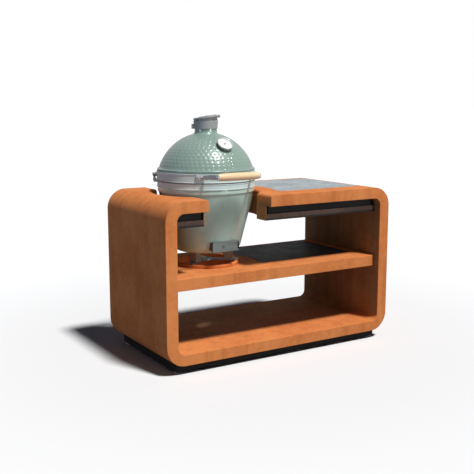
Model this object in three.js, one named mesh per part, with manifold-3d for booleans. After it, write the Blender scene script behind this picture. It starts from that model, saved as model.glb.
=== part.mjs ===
// Outdoor kitchen table in weathering steel with a ceramic kamado grill standing in its round grill place.
// Millimetres, +Z up. The origin is on the floor below the middle of the table, -Y is the front, +X is to the
// right seen from the front.

import * as THREE from 'three';
import { mergeVertices } from 'three/addons/utils/BufferGeometryUtils.js';
import Module from 'manifold-3d';

const wasm = await Module();
wasm.setup();

// Driving dimensions. Seat is the gap left where one piece rests on another, and overrun is how far a cutter
// passes a face.
const seat = 0.3;
const overrun = 5;
const arcStep = Math.PI / 12;
const fineStep = Math.PI / 60;
const filletStep = Math.PI / 8;
const roundSides = 32;
const smallSides = 10;

// The table: one loop of hollow steel panels
const table = {
  width: 1500,
  depth: 750,
  floorGap: 50,
  height: 926,
  sideWall: 68,
  slab: 65,
  floorPanel: 62,
  outerRadius: 110,
  innerRadius: 42,
  skin: 4,
};

// The round grill place in the top, open to the front and to the rear
const grillPlace = {
  fromLeftEnd: 450,
  radius: 300,
  gapWidth: 390,
  cornerRadius: 40,
  lipRadius: 18,
  lipSteps: 3,
};

// Stiffening ribs in the hollow panels, as shares of the span that they divide
const rib = { thickness: 4, endPassage: 60 };
const topRibShares = [0.3, 0.6, 0.88];
const floorRibShares = [0.14, 0.38, 0.62, 0.86];
const wallRibShares = [0.3, 0.75];
const drain = { radius: 8, fromSide: 140, fromFront: 150 };

// The stone inlays let into the worktop and the shelf
const inlay = {
  thickness: 12,
  joint: 3,
  cornerRadius: 40,
  endRadius: 6,
  worktopArcRadius: 400,
  worktopFront: 145,
  worktopRear: 32,
  worktopEnd: 115,
  shelfArcRadius: 297,
  shelfFront: 160,
  shelfRear: 28,
  shelfEnd: 57,
};

// The apron that stiffens the top from below: a black web on a brown band
const apron = {
  setback: 50,
  bandHeight: 36,
  webHeight: 46,
  bandDepth: 14,
  webStep: 8,
  cornerRadius: 20,
};

const shelf = {
  top: 510,
  thickness: 65,
  frontSetback: 43,
  rearSetback: 32,
  holeRadius: 164,
};
const shelfRail = { leg: 22, thickness: 3, setback: 120 };
const shelfRing = { inner: 165, outer: 183, height: 18, round: 4 };

const plinth = {
  sideInset: 70,
  frontInset: 36,
  beamWidth: 60,
  height: 38,
};
const foot = {
  padRadius: 28,
  padHeight: 6,
  padTaper: 4,
  studRadius: 6,
  studReach: 24,
  nutRadius: 11,
  fit: 0.3,
};

// The three-armed stand that carries the grill over the hole in the shelf
const stand = {
  arms: 3,
  armWidth: 32,
  armThickness: 8,
  hubRadius: 36,
  hubBore: 14,
  blockOuter: 150,
  blockInner: 96,
  blockWidth: 44,
  blockHeight: 52,
  blockRound: 6,
};

// The ceramic bowl. Its outline is given as shares of the rim radius and the height.
const bowl = {
  rimRadius: 272,
  height: 400,
  wall: 22,
  beadReach: 2.5,
};
const bowlOutlineShares = [
  [0.42, 0], [0.58, 0.006], [0.69, 0.045], [0.735, 0.12], [0.8, 0.295], [0.925, 0.63], [0.99, 0.845],
];
const bowlBeadShares = [[1, 0.86], [1, 0.905], [0, 0.915]];
const bowlFloorShare = 0.075;

const dome = {
  sphereRadius: 279,
  centreDrop: 12,
  rimRadius: 274,
  wall: 22,
  straight: 42,
  beadReach: 3,
  beadHeight: 22,
  neckRadius: 63,
  neckBore: 48,
  neckTop: 300,
  neckFillet: 16,
};
const domeFineness = 0.8;
const domeBeadShares = [0.3, 0.6];
const gasket = { thickness: 2.9, inset: 4, width: 16 };

// Steel bands round the rims of the bowl and the dome
const lowerBandShare = 0.08;
const band = {
  thickness: 3.6,
  flange: 3,
  flangeHeight: 4,
  upperHeight: 38,
};

// Fire parts inside the bowl. Their heights above the bowl's bottom are shares of the bowl's height.
const fire = {
  boxWall: 20,
  boxBore: 60,
  wallClearance: 14,
  ledgeRadius: 134,
  ledgeWidth: 16,
  ringFlare: 28,
  mouthWidth: 104,
  mouthClearance: 5,
};
const boxTopShare = 0.655;
const ledgeShare = 0.17;
const ringTopShare = 0.918;
const fireBoxShares = [[0.55, 0], [0.8, 0.14], [0.9, 0.4], [0.97, 0.72], [1, 1]];
const grate = { thickness: 8, slotWidth: 9, slotInner: 26, slotOuter: 116, slots: 12 };
const grid = { rimWire: 4, barWire: 3, bars: 17, crossBars: 2, edge: 10, sides: 4 };

// The hinge behind the grill
const hinge = {
  pinRadius: 6,
  pinLength: 262,
  headRadius: 10,
  headLength: 5,
  behindAxis: 340,
  aboveSplit: 12,
  eyeRadius: 14,
  cheek: 6,
  lowerCheekOut: 124,
  upperCheekOut: 112,
  strapThickness: 5,
  strapHeight: 28,
  strapAngle: Math.PI * 0.145,
  fit: 0.4,
};
const spring = {
  wire: 1.9,
  coilRadius: 8.9,
  pitch: 6.4,
  turns: 5,
  fromMiddle: 40,
  stepsPerTurn: 8,
  sides: 5,
  leg: 26,
};

// The pale wooden handle on two steel arms
const handle = {
  reach: 353.2,
  aboveSplit: 43,
  length: 256,
  radius: 21.5,
  endRadius: 18,
  swellSteps: 8,
  armThickness: 6,
  armHeight: 26,
  endPlate: 19,
  footLength: 44,
  footAngle: Math.PI * 0.215,
  rodRadius: 5,
  capRadius: 12,
  capLength: 6,
};
const bolt = { radius: 4, headRadius: 7.5, headHeight: 4.5, fit: 0.6 };

// The cast-iron vent on the neck. Its top slopes, rising towards the front right.
const cap = {
  bottomRadius: 66,
  topRadius: 70,
  neckOverlap: 14,
  height: 58,
  bore: 40,
  slope: Math.PI * 0.0467,
  riseTowards: -Math.PI * 0.176,
  discRadius: 75.6,
  discThickness: 9,
  discOffset: 5.6,
  discEdge: 3,
  pivotInset: 14,
  pivotRadius: 4,
  pivotHead: 8,
  pivotReach: 16,
  lugLength: 14,
  lugWidth: 22,
  lugHeight: 26,
  slit: 4,
  clampBoltRadius: 4,
  clampHeadRadius: 7,
  clampHeadLength: 5,
};
const wheel = {
  radius: 46,
  thickness: 3,
  holes: 5,
  holeRadius: 10,
  holeCircle: 28,
  pivotRadius: 4,
  pivotHead: 7,
  tabLength: 10,
};

// The thermometer in the front of the dome
const thermometer = {
  elevation: Math.PI * 0.272,
  turn: Math.PI * 0.019,
  caseRadius: 45,
  caseDepth: 14,
  rimWidth: 5,
  dialThickness: 1.2,
  glassThickness: 1.6,
  glassDrop: 1.2,
  needleLength: 30,
  needleTail: 9,
  needleWidth: 2.4,
  needleThickness: 0.9,
  needleRest: Math.PI * 1.25,
  hubRadius: 4,
  stemRadius: 3.2,
  stemLength: 92,
  standOff: 7,
  nutRadius: 10,
  nutHeight: 6,
  washer: 1.2,
};

// The air inlet low in the front of the bowl
const draft = {
  aboveFloor: 20,
  height: 58,
  width: 168,
  openingWidth: 74,
  openingHeight: 38,
  plate: 3,
  rail: 3,
  lipHeight: 5,
  lip: 1.6,
  slot: 2.8,
  panel: 1.8,
  panelWidth: 82,
  sleeve: 3,
  sleeveFit: 0.5,
  knobRadius: 5,
  knobLength: 10,
  screenColumns: 6,
  screenRows: 3,
  screenHole: 7,
};

// Places worked out from the driving dimensions
const half = { x: table.width / 2, y: table.depth / 2 };
const bodyBottom = table.floorGap;
const bodyTop = table.height;
const inside = {
  x: half.x - table.sideWall,
  bottom: bodyBottom + table.floorPanel,
  top: bodyTop - table.slab,
};
const grillX = grillPlace.fromLeftEnd - half.x;
const gapHalf = grillPlace.gapWidth / 2;
const recessDepth = inlay.thickness + seat;
const standBottom = shelf.top + seat + shelfRing.height + seat;
const bowlBottom = standBottom + stand.armThickness + seat + stand.blockHeight + seat;
const bowlTop = bowlBottom + bowl.height;
const split = bowlTop + seat + gasket.thickness + seat / 2;
const domeBottom = split + seat / 2 + gasket.thickness + seat;
const domeCentre = split - dome.centreDrop;
const hingeZ = split + hinge.aboveSplit;

// Finishes
function finish(color, roughness, metalness) {
  return new THREE.MeshStandardMaterial({ color, roughness, metalness });
}
const finishes = {
  rust: finish('#c8703c', 0.75, 0.2),
  brownSteel: finish('#4a3a32', 0.6, 0.4),
  blackSteel: finish('#1e2023', 0.5, 0.5),
  stone: finish('#2c2f31', 0.2, 0),
  zinc: finish('#9c9d9a', 0.35, 1),
  glaze: finish('#7d9687', 0.18, 0),
  firebrick: finish('#c9b79c', 0.9, 0),
  felt: finish('#3a3a38', 0.95, 0),
  bandSteel: finish('#77777a', 0.35, 0.8),
  castIron: finish('#5f5f60', 0.6, 0.6),
  wood: finish('#e4b782', 0.5, 0),
  steel: finish('#b8b8b6', 0.25, 1),
  dial: finish('#f4f4ef', 0.4, 0),
  needle: finish('#1c1c1c', 0.4, 0),
  glass: finish('#e8f0f0', 0.05, 0),
};

// A closed body with shared corners, no collapsed triangles and its faces pointing out
function closed(geometry) {
  const bare = geometry.clone();
  for (const name of ['normal', 'uv']) bare.deleteAttribute(name);
  const merged = mergeVertices(bare, seat / 1000);
  const old = merged.index.array;
  const place = merged.getAttribute('position');
  const index = [];
  let volume = 0;
  const [a, b, c] = [new THREE.Vector3(), new THREE.Vector3(), new THREE.Vector3()];
  for (let i = 0; i < old.length; i += 3) {
    const [p, q, r] = [old[i], old[i + 1], old[i + 2]];
    if (p === q || q === r || r === p) continue;
    index.push(p, q, r);
    b.fromBufferAttribute(place, q).cross(c.fromBufferAttribute(place, r));
    volume += a.fromBufferAttribute(place, p).dot(b);
  }
  if (volume < 0) index.reverse();
  merged.setIndex(index);
  return merged;
}

function toSolid(geometry) {
  const body = closed(geometry);
  return new wasm.Manifold(new wasm.Mesh({
    numProp: 3,
    vertProperties: new Float32Array(body.getAttribute('position').array),
    triVerts: new Uint32Array(body.index.array),
  }));
}

function fromSolid(solid) {
  const mesh = solid.getMesh();
  const geometry = new THREE.BufferGeometry();
  geometry.setAttribute('position', new THREE.BufferAttribute(mesh.vertProperties, 3));
  geometry.setIndex(new THREE.BufferAttribute(mesh.triVerts, 1));
  return geometry;
}

function cut(body, ...tools) {
  return fromSolid(tools.reduce((rest, tool) => rest.subtract(toSolid(tool)), toSolid(body)));
}

function join(first, ...others) {
  return fromSolid(others.reduce((sum, other) => sum.add(toSolid(other)), toSolid(first)));
}

function block(x0, x1, y0, y1, z0, z1) {
  const box = new THREE.BoxGeometry(x1 - x0, y1 - y0, z1 - z0);
  return box.translate((x0 + x1) / 2, (y0 + y1) / 2, (z0 + z1) / 2);
}

function shapeOf(points, holes = []) {
  const shape = new THREE.Shape(points.map(([x, y]) => new THREE.Vector2(x, y)));
  shape.holes = holes.map((hole) => new THREE.Path(hole.map(([x, y]) => new THREE.Vector2(x, y))));
  return shape;
}

// An outline in plan, raised from z0 to z1
function raise(points, z0, z1, holes = []) {
  const settings = { depth: z1 - z0, bevelEnabled: false };
  return new THREE.ExtrudeGeometry(shapeOf(points, holes), settings).translate(0, 0, z0);
}

// An outline seen from the front, in x and z, carried from y0 back to y1
function carryBack(points, y0, y1, holes = []) {
  return raise(points, -y1, -y0, holes).rotateX(Math.PI / 2);
}

// An outline seen from the right, in y and z, carried from x0 to x1
function carryAcross(points, x0, x1, holes = []) {
  return raise(points, x0, x1, holes).rotateX(Math.PI / 2).rotateZ(Math.PI / 2);
}

// A profile of radius and height turned about the vertical axis
function revolve(profile, sides = roundSides) {
  const points = profile.map(([radius, height]) => new THREE.Vector2(radius, height));
  return closed(new THREE.LatheGeometry(points, sides).rotateX(Math.PI / 2));
}

function ring(profile, sides = roundSides) {
  return revolve([...profile, profile[0]], sides);
}

function cylinder(radius, z0, z1, sides = smallSides) {
  return revolve([[0, z0], [radius, z0], [radius, z1], [0, z1]], sides);
}

function rodAlongX(radius, x0, x1, y, z, sides = smallSides) {
  return cylinder(radius, x0, x1, sides).rotateY(Math.PI / 2).translate(0, y, z);
}

// Points along an arc, the first and last included, with a point at least every step
function arc(cx, cy, radius, from, to, step = arcStep) {
  const count = Math.max(2, Math.ceil(Math.abs(to - from) / step));
  return Array.from({ length: count + 1 }, (_, i) => {
    const angle = from + (to - from) * i / count;
    return [cx + radius * Math.cos(angle), cy + radius * Math.sin(angle)];
  });
}

function roundedRectangle(x0, x1, y0, y1, radius) {
  const quarter = Math.PI / 2;
  return [
    ...arc(x1 - radius, y0 + radius, radius, -quarter, 0),
    ...arc(x1 - radius, y1 - radius, radius, 0, quarter),
    ...arc(x0 + radius, y1 - radius, radius, quarter, 2 * quarter),
    ...arc(x0 + radius, y0 + radius, radius, 2 * quarter, 3 * quarter),
  ];
}

function mirrored(points) {
  return points.map(([x, y]) => [-x, y]).reverse();
}

// A body through closed loops of the same number of points, one above the other
function loft(loops) {
  const flats = loops.map((loop) => loop.map((point) => new THREE.Vector2(point[0], point[1])));
  if (THREE.ShapeUtils.isClockWise(flats[0])) {
    loops.forEach((loop) => loop.reverse());
    flats.forEach((flat) => flat.reverse());
  }
  const count = loops[0].length;
  const last = (loops.length - 1) * count;
  const index = [];
  for (let level = 0; level < loops.length - 1; level += 1) {
    for (let i = 0; i < count; i += 1) {
      const [a, b] = [level * count + i, level * count + (i + 1) % count];
      index.push(a, b, b + count, a, b + count, a + count);
    }
  }
  for (const [a, b, c] of THREE.ShapeUtils.triangulateShape(flats[0], [])) index.push(a, c, b);
  for (const corners of THREE.ShapeUtils.triangulateShape(flats.at(-1), [])) {
    index.push(...corners.map((corner) => last + corner));
  }
  const geometry = new THREE.BufferGeometry();
  geometry.setAttribute('position', new THREE.Float32BufferAttribute(loops.flat(2), 3));
  geometry.setIndex(index);
  return geometry;
}

// The right edge of the grill place about the grill's axis, from the front to the rear. The edge runs back along
// the gap, round a convex corner, along the circle and out again; grow moves it away from the grill. An edge that
// ends within the corners has no straight part.
function placeEdge(grow, frontY, rearY) {
  const corner = grillPlace.cornerRadius;
  const reach = grillPlace.radius + corner;
  const cx = gapHalf + corner;
  const cy = Math.sqrt(reach * reach - cx * cx);
  const meet = Math.atan2(cy, cx);
  const missing = (y) => Math.asin(Math.max(cy - Math.abs(y), 0) / (corner - grow));
  const straight = (y) => (missing(y) > 0 ? [] : [[gapHalf + grow, y]]);
  return [
    ...straight(frontY),
    ...arc(cx, -cy, corner - grow, Math.PI - missing(frontY), Math.PI - meet),
    ...arc(0, 0, grillPlace.radius + grow, -meet, meet),
    ...arc(cx, cy, corner - grow, Math.PI + meet, Math.PI + missing(rearY)),
    ...straight(rearY),
  ];
}

function placeOutline(grow, frontY, rearY) {
  const edge = placeEdge(grow, frontY, rearY);
  return [...edge, ...mirrored(edge)];
}

// The cutter for the grill place, widened at the top to leave a rounded lip
function placeCutter() {
  const edgeY = half.y + overrun;
  const { lipRadius, lipSteps } = grillPlace;
  const level = (offset, z) => placeOutline(offset, -edgeY, edgeY).map(([x, y]) => [x + grillX, y, z]);
  const loops = [level(0, inside.top - overrun)];
  for (let i = 0; i <= lipSteps; i += 1) {
    const angle = (i / lipSteps) * (Math.PI / 2);
    loops.push(level(lipRadius * (1 - Math.cos(angle)), bodyTop - lipRadius * (1 - Math.sin(angle))));
  }
  loops.push(level(lipRadius, bodyTop + overrun));
  return loft(loops);
}

// A slab whose left end follows a circle about the grill's axis, with rounded corners; grow widens it all round
function inlayOutline(arcRadius, front, rear, end, grow) {
  const corner = inlay.cornerRadius + grow;
  const reach = arcRadius + inlay.cornerRadius;
  const circle = arcRadius - grow;
  const [y0, y1, x1] = [front - grow, rear + grow, end + grow];
  const [frontCy, rearCy] = [y0 + corner, y1 - corner];
  const frontMeet = Math.asin(frontCy / reach);
  const rearMeet = Math.asin(rearCy / reach);
  const endRadius = inlay.endRadius + grow;
  const quarter = Math.PI / 2;
  const outline = [
    ...arc(0, 0, circle, rearMeet, frontMeet),
    ...arc(reach * Math.cos(frontMeet), frontCy, corner, frontMeet + 2 * quarter, 3 * quarter),
    ...arc(x1 - grillX - endRadius, y0 + endRadius, endRadius, -quarter, 0),
    ...arc(x1 - grillX - endRadius, y1 - endRadius, endRadius, 0, quarter),
    ...arc(reach * Math.cos(rearMeet), rearCy, corner, quarter, rearMeet + 2 * quarter),
  ];
  return outline.map(([x, y]) => [x + grillX, y]);
}

function worktopOutline(grow) {
  const [front, rear] = [inlay.worktopFront - half.y, half.y - inlay.worktopRear];
  return inlayOutline(inlay.worktopArcRadius, front, rear, half.x - inlay.worktopEnd, grow);
}

function shelfInlayOutline(grow) {
  const front = -half.y + shelf.frontSetback + inlay.shelfFront;
  const rear = half.y - shelf.rearSetback - inlay.shelfRear;
  return inlayOutline(inlay.shelfArcRadius, front, rear, inside.x - inlay.shelfEnd, grow);
}

// The loop of panels, grown outwards at both its faces by grow
function loopOf(grow) {
  const [x0, x1] = [half.x + grow, inside.x - grow];
  const outer = roundedRectangle(-x0, x0, bodyBottom - grow, bodyTop + grow, table.outerRadius + grow);
  const inner = roundedRectangle(-x1, x1, inside.bottom + grow, inside.top - grow, table.innerRadius - grow);
  return carryBack(outer, -half.y - grow, half.y + grow, [inner]);
}

function ribPlates() {
  const y1 = half.y - rib.endPassage;
  const t = rib.thickness / 2;
  const plates = [];
  const placeEnd = grillX + gapHalf;
  for (const share of topRibShares) {
    const x = placeEnd + share * (inside.x - placeEnd);
    plates.push(block(x - t, x + t, -y1, y1, inside.top, bodyTop));
  }
  for (const share of floorRibShares) {
    const x = -inside.x + share * 2 * inside.x;
    plates.push(block(x - t, x + t, -y1, y1, bodyBottom, inside.bottom));
  }
  for (const share of wallRibShares) {
    const z = inside.bottom + share * (inside.top - inside.bottom);
    for (const side of [-1, 1]) {
      const [x0, x1] = [side * inside.x, side * half.x].sort((a, b) => a - b);
      plates.push(block(x0, x1, -y1, y1, z - t, z + t));
    }
  }
  return plates;
}

function drainHoles(z0, z1) {
  const holes = [];
  for (const side of [-1, 1]) {
    for (const end of [-1, 1]) {
      const hole = cylinder(drain.radius, z0, z1);
      holes.push(hole.translate(side * (half.x - drain.fromSide), end * (half.y - drain.fromFront), 0));
    }
  }
  return holes;
}

function casingGeometry() {
  const recess = raise(worktopOutline(inlay.joint), bodyTop - recessDepth, bodyTop + overrun);
  const trayBottom = bodyTop - recessDepth - table.skin;
  const tray = raise(worktopOutline(inlay.joint + table.skin), trayBottom, bodyTop + overrun);
  const lip = placeOutline(table.skin + grillPlace.lipRadius, -half.y, half.y).map(([x, y]) => [x + grillX, y]);
  const aroundPlace = raise(lip, inside.top - overrun, bodyTop + overrun);
  const hollow = cut(loopOf(-table.skin), aroundPlace, tray, ...ribPlates());
  const drains = drainHoles(bodyBottom - overrun, bodyBottom + table.skin + overrun);
  return cut(loopOf(0), placeCutter(), hollow, recess, ...drains);
}

function worktopInlayGeometry() {
  return raise(worktopOutline(0), bodyTop - inlay.thickness, bodyTop);
}

// The apron's plan line at a depth behind its face: from the wall along the front, round the grill place and back
function apronLine(depth) {
  const corner = apron.cornerRadius;
  const y = half.y - apron.setback;
  const wall = inside.x - seat;
  const quarter = Math.PI / 2;
  const cy = y - corner;
  const cx = placeEdge(0, -cy, cy)[0][0] + corner;
  const edge = placeEdge(depth, -cy, cy).map(([x, py]) => [x + grillX, py]);
  return [
    [wall, -y + depth],
    ...arc(grillX + cx, -cy, corner - depth, -quarter, -2 * quarter),
    ...edge.slice(1, -1),
    ...arc(grillX + cx, cy, corner - depth, 2 * quarter, quarter),
    [wall, y - depth],
  ];
}

function leftApronLine(depth) {
  return apronLine(depth).map(([x, y], i, all) => {
    const wallEnd = i === 0 || i === all.length - 1;
    return [wallEnd ? -inside.x + seat : 2 * grillX - x, y];
  });
}

function apronStrip(line, nearDepth, farDepth, z0, z1) {
  return raise([...line(nearDepth), ...line(farDepth).reverse()], z0, z1);
}

function apronGeometries(line) {
  const webTop = inside.top - seat;
  const webBottom = inside.top - apron.webHeight + seat;
  const bandTop = webBottom - seat;
  const web = cut(apronStrip(line, apron.webStep, apron.bandDepth, webBottom, webTop), loopOf(seat));
  const bandStrip = apronStrip(line, 0, apron.bandDepth, bandTop - apron.bandHeight, bandTop);
  return { web, band: bandStrip };
}

function shelfGeometry() {
  const x = inside.x - seat;
  const [y0, y1] = [-half.y + shelf.frontSetback, half.y - shelf.rearSetback];
  const [z0, z1] = [shelf.top - shelf.thickness, shelf.top];
  const skin = table.skin;
  const round = (radius) => cylinder(radius, z0 - overrun, z1 + overrun, roundSides).translate(grillX, 0, 0);
  const [post, hole] = [round(shelf.holeRadius + skin), round(shelf.holeRadius)];
  const recess = raise(shelfInlayOutline(inlay.joint), z1 - recessDepth, z1 + overrun);
  const tray = raise(shelfInlayOutline(inlay.joint + skin), z1 - recessDepth - skin, z1 + overrun);
  const hollow = cut(block(-x + skin, x - skin, y0 + skin, y1 - skin, z0 + skin, z1 - skin), post, tray);
  const drains = drainHoles(z0 - overrun, z0 + skin + overrun);
  return cut(block(-x, x, y0, y1, z0, z1), hollow, hole, recess, ...drains);
}

// An angle bar on the inner face of a side wall that the shelf rests on
function shelfRailGeometry(side) {
  const { leg, thickness, setback } = shelfRail;
  const wall = inside.x - seat;
  const z = shelf.top - shelf.thickness - seat;
  const outline = [
    [wall, z], [wall - leg, z], [wall - leg, z - thickness],
    [wall - thickness, z - thickness], [wall - thickness, z - leg], [wall, z - leg],
  ];
  const y = half.y - shelf.frontSetback - setback;
  return carryBack(side > 0 ? outline : mirrored(outline), -y, y);
}

function shelfInlayGeometry() {
  return raise(shelfInlayOutline(0), shelf.top - inlay.thickness, shelf.top);
}

function shelfRingGeometry() {
  const { inner, outer, height, round } = shelfRing;
  const z0 = shelf.top + seat;
  const z1 = z0 + height;
  return ring([
    [inner, z0], [outer, z0], [outer, z1 - round],
    [outer - round, z1], [inner + round, z1], [inner, z1 - round],
  ]);
}

const footNames = ['front_left', 'front_right', 'rear_left', 'rear_right'];

function footPlaces() {
  const x = half.x - plinth.sideInset - plinth.beamWidth / 2;
  const y = half.y - plinth.frontInset - plinth.beamWidth / 2;
  return [[-x, -y], [x, -y], [-x, y], [x, y]];
}

function plinthGeometry() {
  const [x, y] = [half.x - plinth.sideInset, half.y - plinth.frontInset];
  const w = plinth.beamWidth;
  const outer = [[-x, -y], [x, -y], [x, y], [-x, y]];
  const inner = [[-x + w, -y + w], [x - w, -y + w], [x - w, y - w], [-x + w, y - w]];
  const boreRadius = foot.studRadius + foot.fit;
  const bores = footPlaces().map(([cx, cy]) => arc(cx, cy, boreRadius, 0, 2 * Math.PI, filletStep).slice(1));
  const top = bodyBottom - seat;
  return raise(outer, top - plinth.height, top, [inner, ...bores]);
}

function levellingFootGeometry() {
  const underPlinth = bodyBottom - seat - plinth.height - seat;
  const { padRadius, padHeight, padTaper, studRadius, nutRadius, studReach } = foot;
  const profile = [
    [0, 0], [padRadius, 0], [padRadius, padHeight - padTaper], [padRadius - padTaper, padHeight],
    [nutRadius, padHeight], [nutRadius, underPlinth], [studRadius, underPlinth],
    [studRadius, underPlinth + studReach], [0, underPlinth + studReach],
  ];
  return revolve(profile, smallSides);
}

const armNames = ['rear', 'left', 'right'];

function armAngles() {
  return Array.from({ length: stand.arms }, (_, i) => Math.PI / 2 + (i * 2 * Math.PI) / stand.arms);
}

function standSpiderGeometry() {
  const w = stand.armWidth / 2;
  const z1 = standBottom + stand.armThickness;
  const arms = armAngles().map((angle) => block(0, shelfRing.outer, -w, w, standBottom, z1).rotateZ(angle));
  const hub = cylinder(stand.hubRadius, standBottom, z1, roundSides / 2);
  const bore = cylinder(stand.hubBore, standBottom - overrun, z1 + overrun);
  return cut(join(hub, ...arms), bore);
}

function standBlockGeometry(angle) {
  const z0 = standBottom + stand.armThickness + seat;
  const w = stand.blockWidth / 2;
  const outline = roundedRectangle(stand.blockInner, stand.blockOuter, -w, w, stand.blockRound);
  const tall = raise(outline, z0, z0 + stand.blockHeight + bowl.height * bowlFloorShare).rotateZ(angle);
  return cut(tall, revolve(bowlOuterProfile(seat)));
}

// The bowl's outside from the axis up to the rim, grown by grow
function bowlOuterProfile(grow) {
  const { rimRadius, height, beadReach } = bowl;
  const body = bowlOutlineShares.map(([r, z]) => [rimRadius * r + grow, bowlBottom + height * z - grow]);
  const [beadLow, beadHigh, aboveBead] = bowlBeadShares;
  return [
    [0, bowlBottom - grow],
    ...body,
    [rimRadius + beadReach + grow, bowlBottom + height * beadLow[1]],
    [rimRadius + beadReach + grow, bowlBottom + height * beadHigh[1]],
    [rimRadius + grow, bowlBottom + height * aboveBead[1]],
    [rimRadius + grow, bowlTop],
    [0, bowlTop],
  ];
}

// The radius of the bowl's inner wall at a height above its bottom
function bowlInnerRadius(aboveBottom) {
  const share = aboveBottom / bowl.height;
  const points = [...bowlOutlineShares, [1, 1]];
  const next = points.findIndex(([, z]) => z >= share);
  const [[r0, z0], [r1, z1]] = [points[Math.max(next - 1, 0)], points[Math.max(next, 1)]];
  const part = (share - z0) / (z1 - z0);
  return bowl.rimRadius * (r0 + (r1 - r0) * part) - bowl.wall;
}

function bowlGeometry() {
  const floor = bowlBottom + bowl.height * bowlFloorShare;
  const outside = bowlOuterProfile(0).slice(0, -1);
  const aboveFloorShares = bowlOutlineShares.filter(([, z]) => z > bowlFloorShare);
  const { rimRadius, height, wall } = bowl;
  const innerWall = aboveFloorShares.map(([r, z]) => [rimRadius * r - wall, bowlBottom + height * z]).reverse();
  const floorRadius = innerWall.at(-1)[0] - wall;
  const inner = [[rimRadius - wall, bowlTop], ...innerWall, [floorRadius, floor], [0, floor]];
  const shell = revolve([...outside, ...inner]);
  const { x0, x1, z0, z1 } = draftOpening();
  const fit = draft.sleeve + draft.sleeveFit;
  const clearOfSlope = -Math.sqrt(Math.max(floorRadius ** 2 - (x0 - fit) ** 2, 0));
  const mouthEnd = Math.max(sleeveEnd + draft.sleeveFit, clearOfSlope);
  const mouth = block(x0 - fit, x1 + fit, -rimRadius, mouthEnd, z0 - fit, z1 + fit);
  return cut(shell, mouth);
}

// The clear opening of the air inlet, in the grill's own x and in z
function draftOpening() {
  const z0 = bowlBottom + draft.aboveFloor + (draft.height - draft.openingHeight) / 2;
  const x1 = draft.openingWidth / 2 - draft.width / 2 + draft.panelWidth / 2;
  return { x0: x1 - draft.openingWidth, x1, z0, z1: z0 + draft.openingHeight };
}

function gasketRing(z0) {
  const outer = bowl.rimRadius - gasket.inset;
  const inner = outer - gasket.width;
  const z1 = z0 + gasket.thickness;
  return ring([[inner, z0], [outer, z0], [outer, z1], [inner, z1]]);
}

// A band pressed from strip, with a turned-out flange at each edge
function bandRing(radius, z0, height) {
  const [a, b] = [radius + seat, radius + seat + band.thickness];
  const [f, h] = [b + band.flange, band.flangeHeight];
  const z1 = z0 + height;
  return ring([
    [a, z0], [f, z0], [f, z0 + h], [b, z0 + h], [b, z1 - h], [f, z1 - h], [f, z1], [a, z1],
  ]);
}

// The radius at which a piece rests on the band of a rim
function bandFace(rimRadius) {
  return rimRadius + seat + band.thickness + band.flange + seat;
}

const lowerBandHeight = bowl.height * lowerBandShare;
const lowerBandBottom = bowlTop - lowerBandHeight;
const upperBandBottom = domeBottom;

function domeGeometry() {
  const { sphereRadius, rimRadius, wall, straight, beadReach, beadHeight, neckRadius, neckBore } = dome;
  const beadTop = domeBottom + straight + beadHeight;
  const start = Math.asin((beadTop - domeCentre) / sphereRadius);
  const filletCentre = neckRadius + dome.neckFillet;
  const reach = sphereRadius + dome.neckFillet;
  const end = Math.acos(filletCentre / reach);
  const filletHeight = domeCentre + reach * Math.sin(end);
  const neckTop = split + dome.neckTop;
  const outside = [
    [rimRadius, domeBottom], [rimRadius, domeBottom + straight],
    ...domeBeadShares.map((share) => [rimRadius + beadReach, domeBottom + straight + beadHeight * share]),
    ...arc(0, domeCentre, sphereRadius, start, end, arcStep * domeFineness),
    ...arc(filletCentre, filletHeight, dome.neckFillet, Math.PI + end, Math.PI, filletStep).slice(1),
    [neckRadius, neckTop], [neckBore, neckTop],
  ];
  const innerSphere = sphereRadius - wall;
  const innerEnd = Math.acos(neckBore / innerSphere);
  const innerStart = Math.asin((domeBottom + straight - domeCentre) / innerSphere);
  const within = [
    ...arc(0, domeCentre, innerSphere, innerEnd, innerStart),
    [rimRadius - wall, domeBottom],
  ];
  const shell = ring([...outside, ...within]);
  const stemHole = cylinder(thermometer.stemRadius + seat, -wall * 2, wall * 2).applyMatrix4(dialFrame.matrix);
  const { nutRadius, nutHeight, washer } = thermometer;
  const nutSeat = cylinder(nutRadius + washer, -wall - 2 * nutHeight, washer - wall).applyMatrix4(dialFrame.matrix);
  return cut(shell, stemHole, nutSeat);
}

// The outside radius of the fire box at its top, where the fire ring stands on it
function fireBoxRadius() {
  return bowlInnerRadius(bowl.height * boxTopShare) - fire.wallClearance;
}

function fireBoxGeometry() {
  const floor = bowlBottom + bowl.height * bowlFloorShare + seat;
  const top = bowlBottom + bowl.height * boxTopShare;
  const topRadius = fireBoxRadius();
  const outside = fireBoxShares.map(([r, z]) => [topRadius * r, floor + (top - floor) * z]);
  const ledgeZ = bowlBottom + bowl.height * ledgeShare;
  const wall = fire.boxWall;
  const shell = ring([
    [fire.boxBore, floor], ...outside, [topRadius - wall, top],
    [topRadius * fireBoxShares[2][0] - wall, floor + (top - floor) * fireBoxShares[2][1]],
    [fire.ledgeRadius, ledgeZ], [fire.ledgeRadius - fire.ledgeWidth, ledgeZ], [fire.boxBore, floor + wall],
  ]);
  const { x0, x1, z1 } = draftOpening();
  const w = (fire.mouthWidth - draft.openingWidth) / 2;
  const mouthTop = z1 + draft.sleeve + fire.mouthClearance;
  const mouth = block(x0 - w, x1 + w, -topRadius - overrun, -fire.boxBore, floor - overrun, mouthTop);
  return cut(shell, mouth);
}

function fireRingGeometry() {
  const z0 = bowlBottom + bowl.height * boxTopShare + seat;
  const z1 = bowlBottom + bowl.height * ringTopShare;
  const outer = fireBoxRadius();
  const [o2, wall] = [outer + fire.ringFlare, fire.boxWall];
  return ring([[outer - wall, z0], [outer, z0], [o2, z1], [o2 - wall, z1]]);
}

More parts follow.
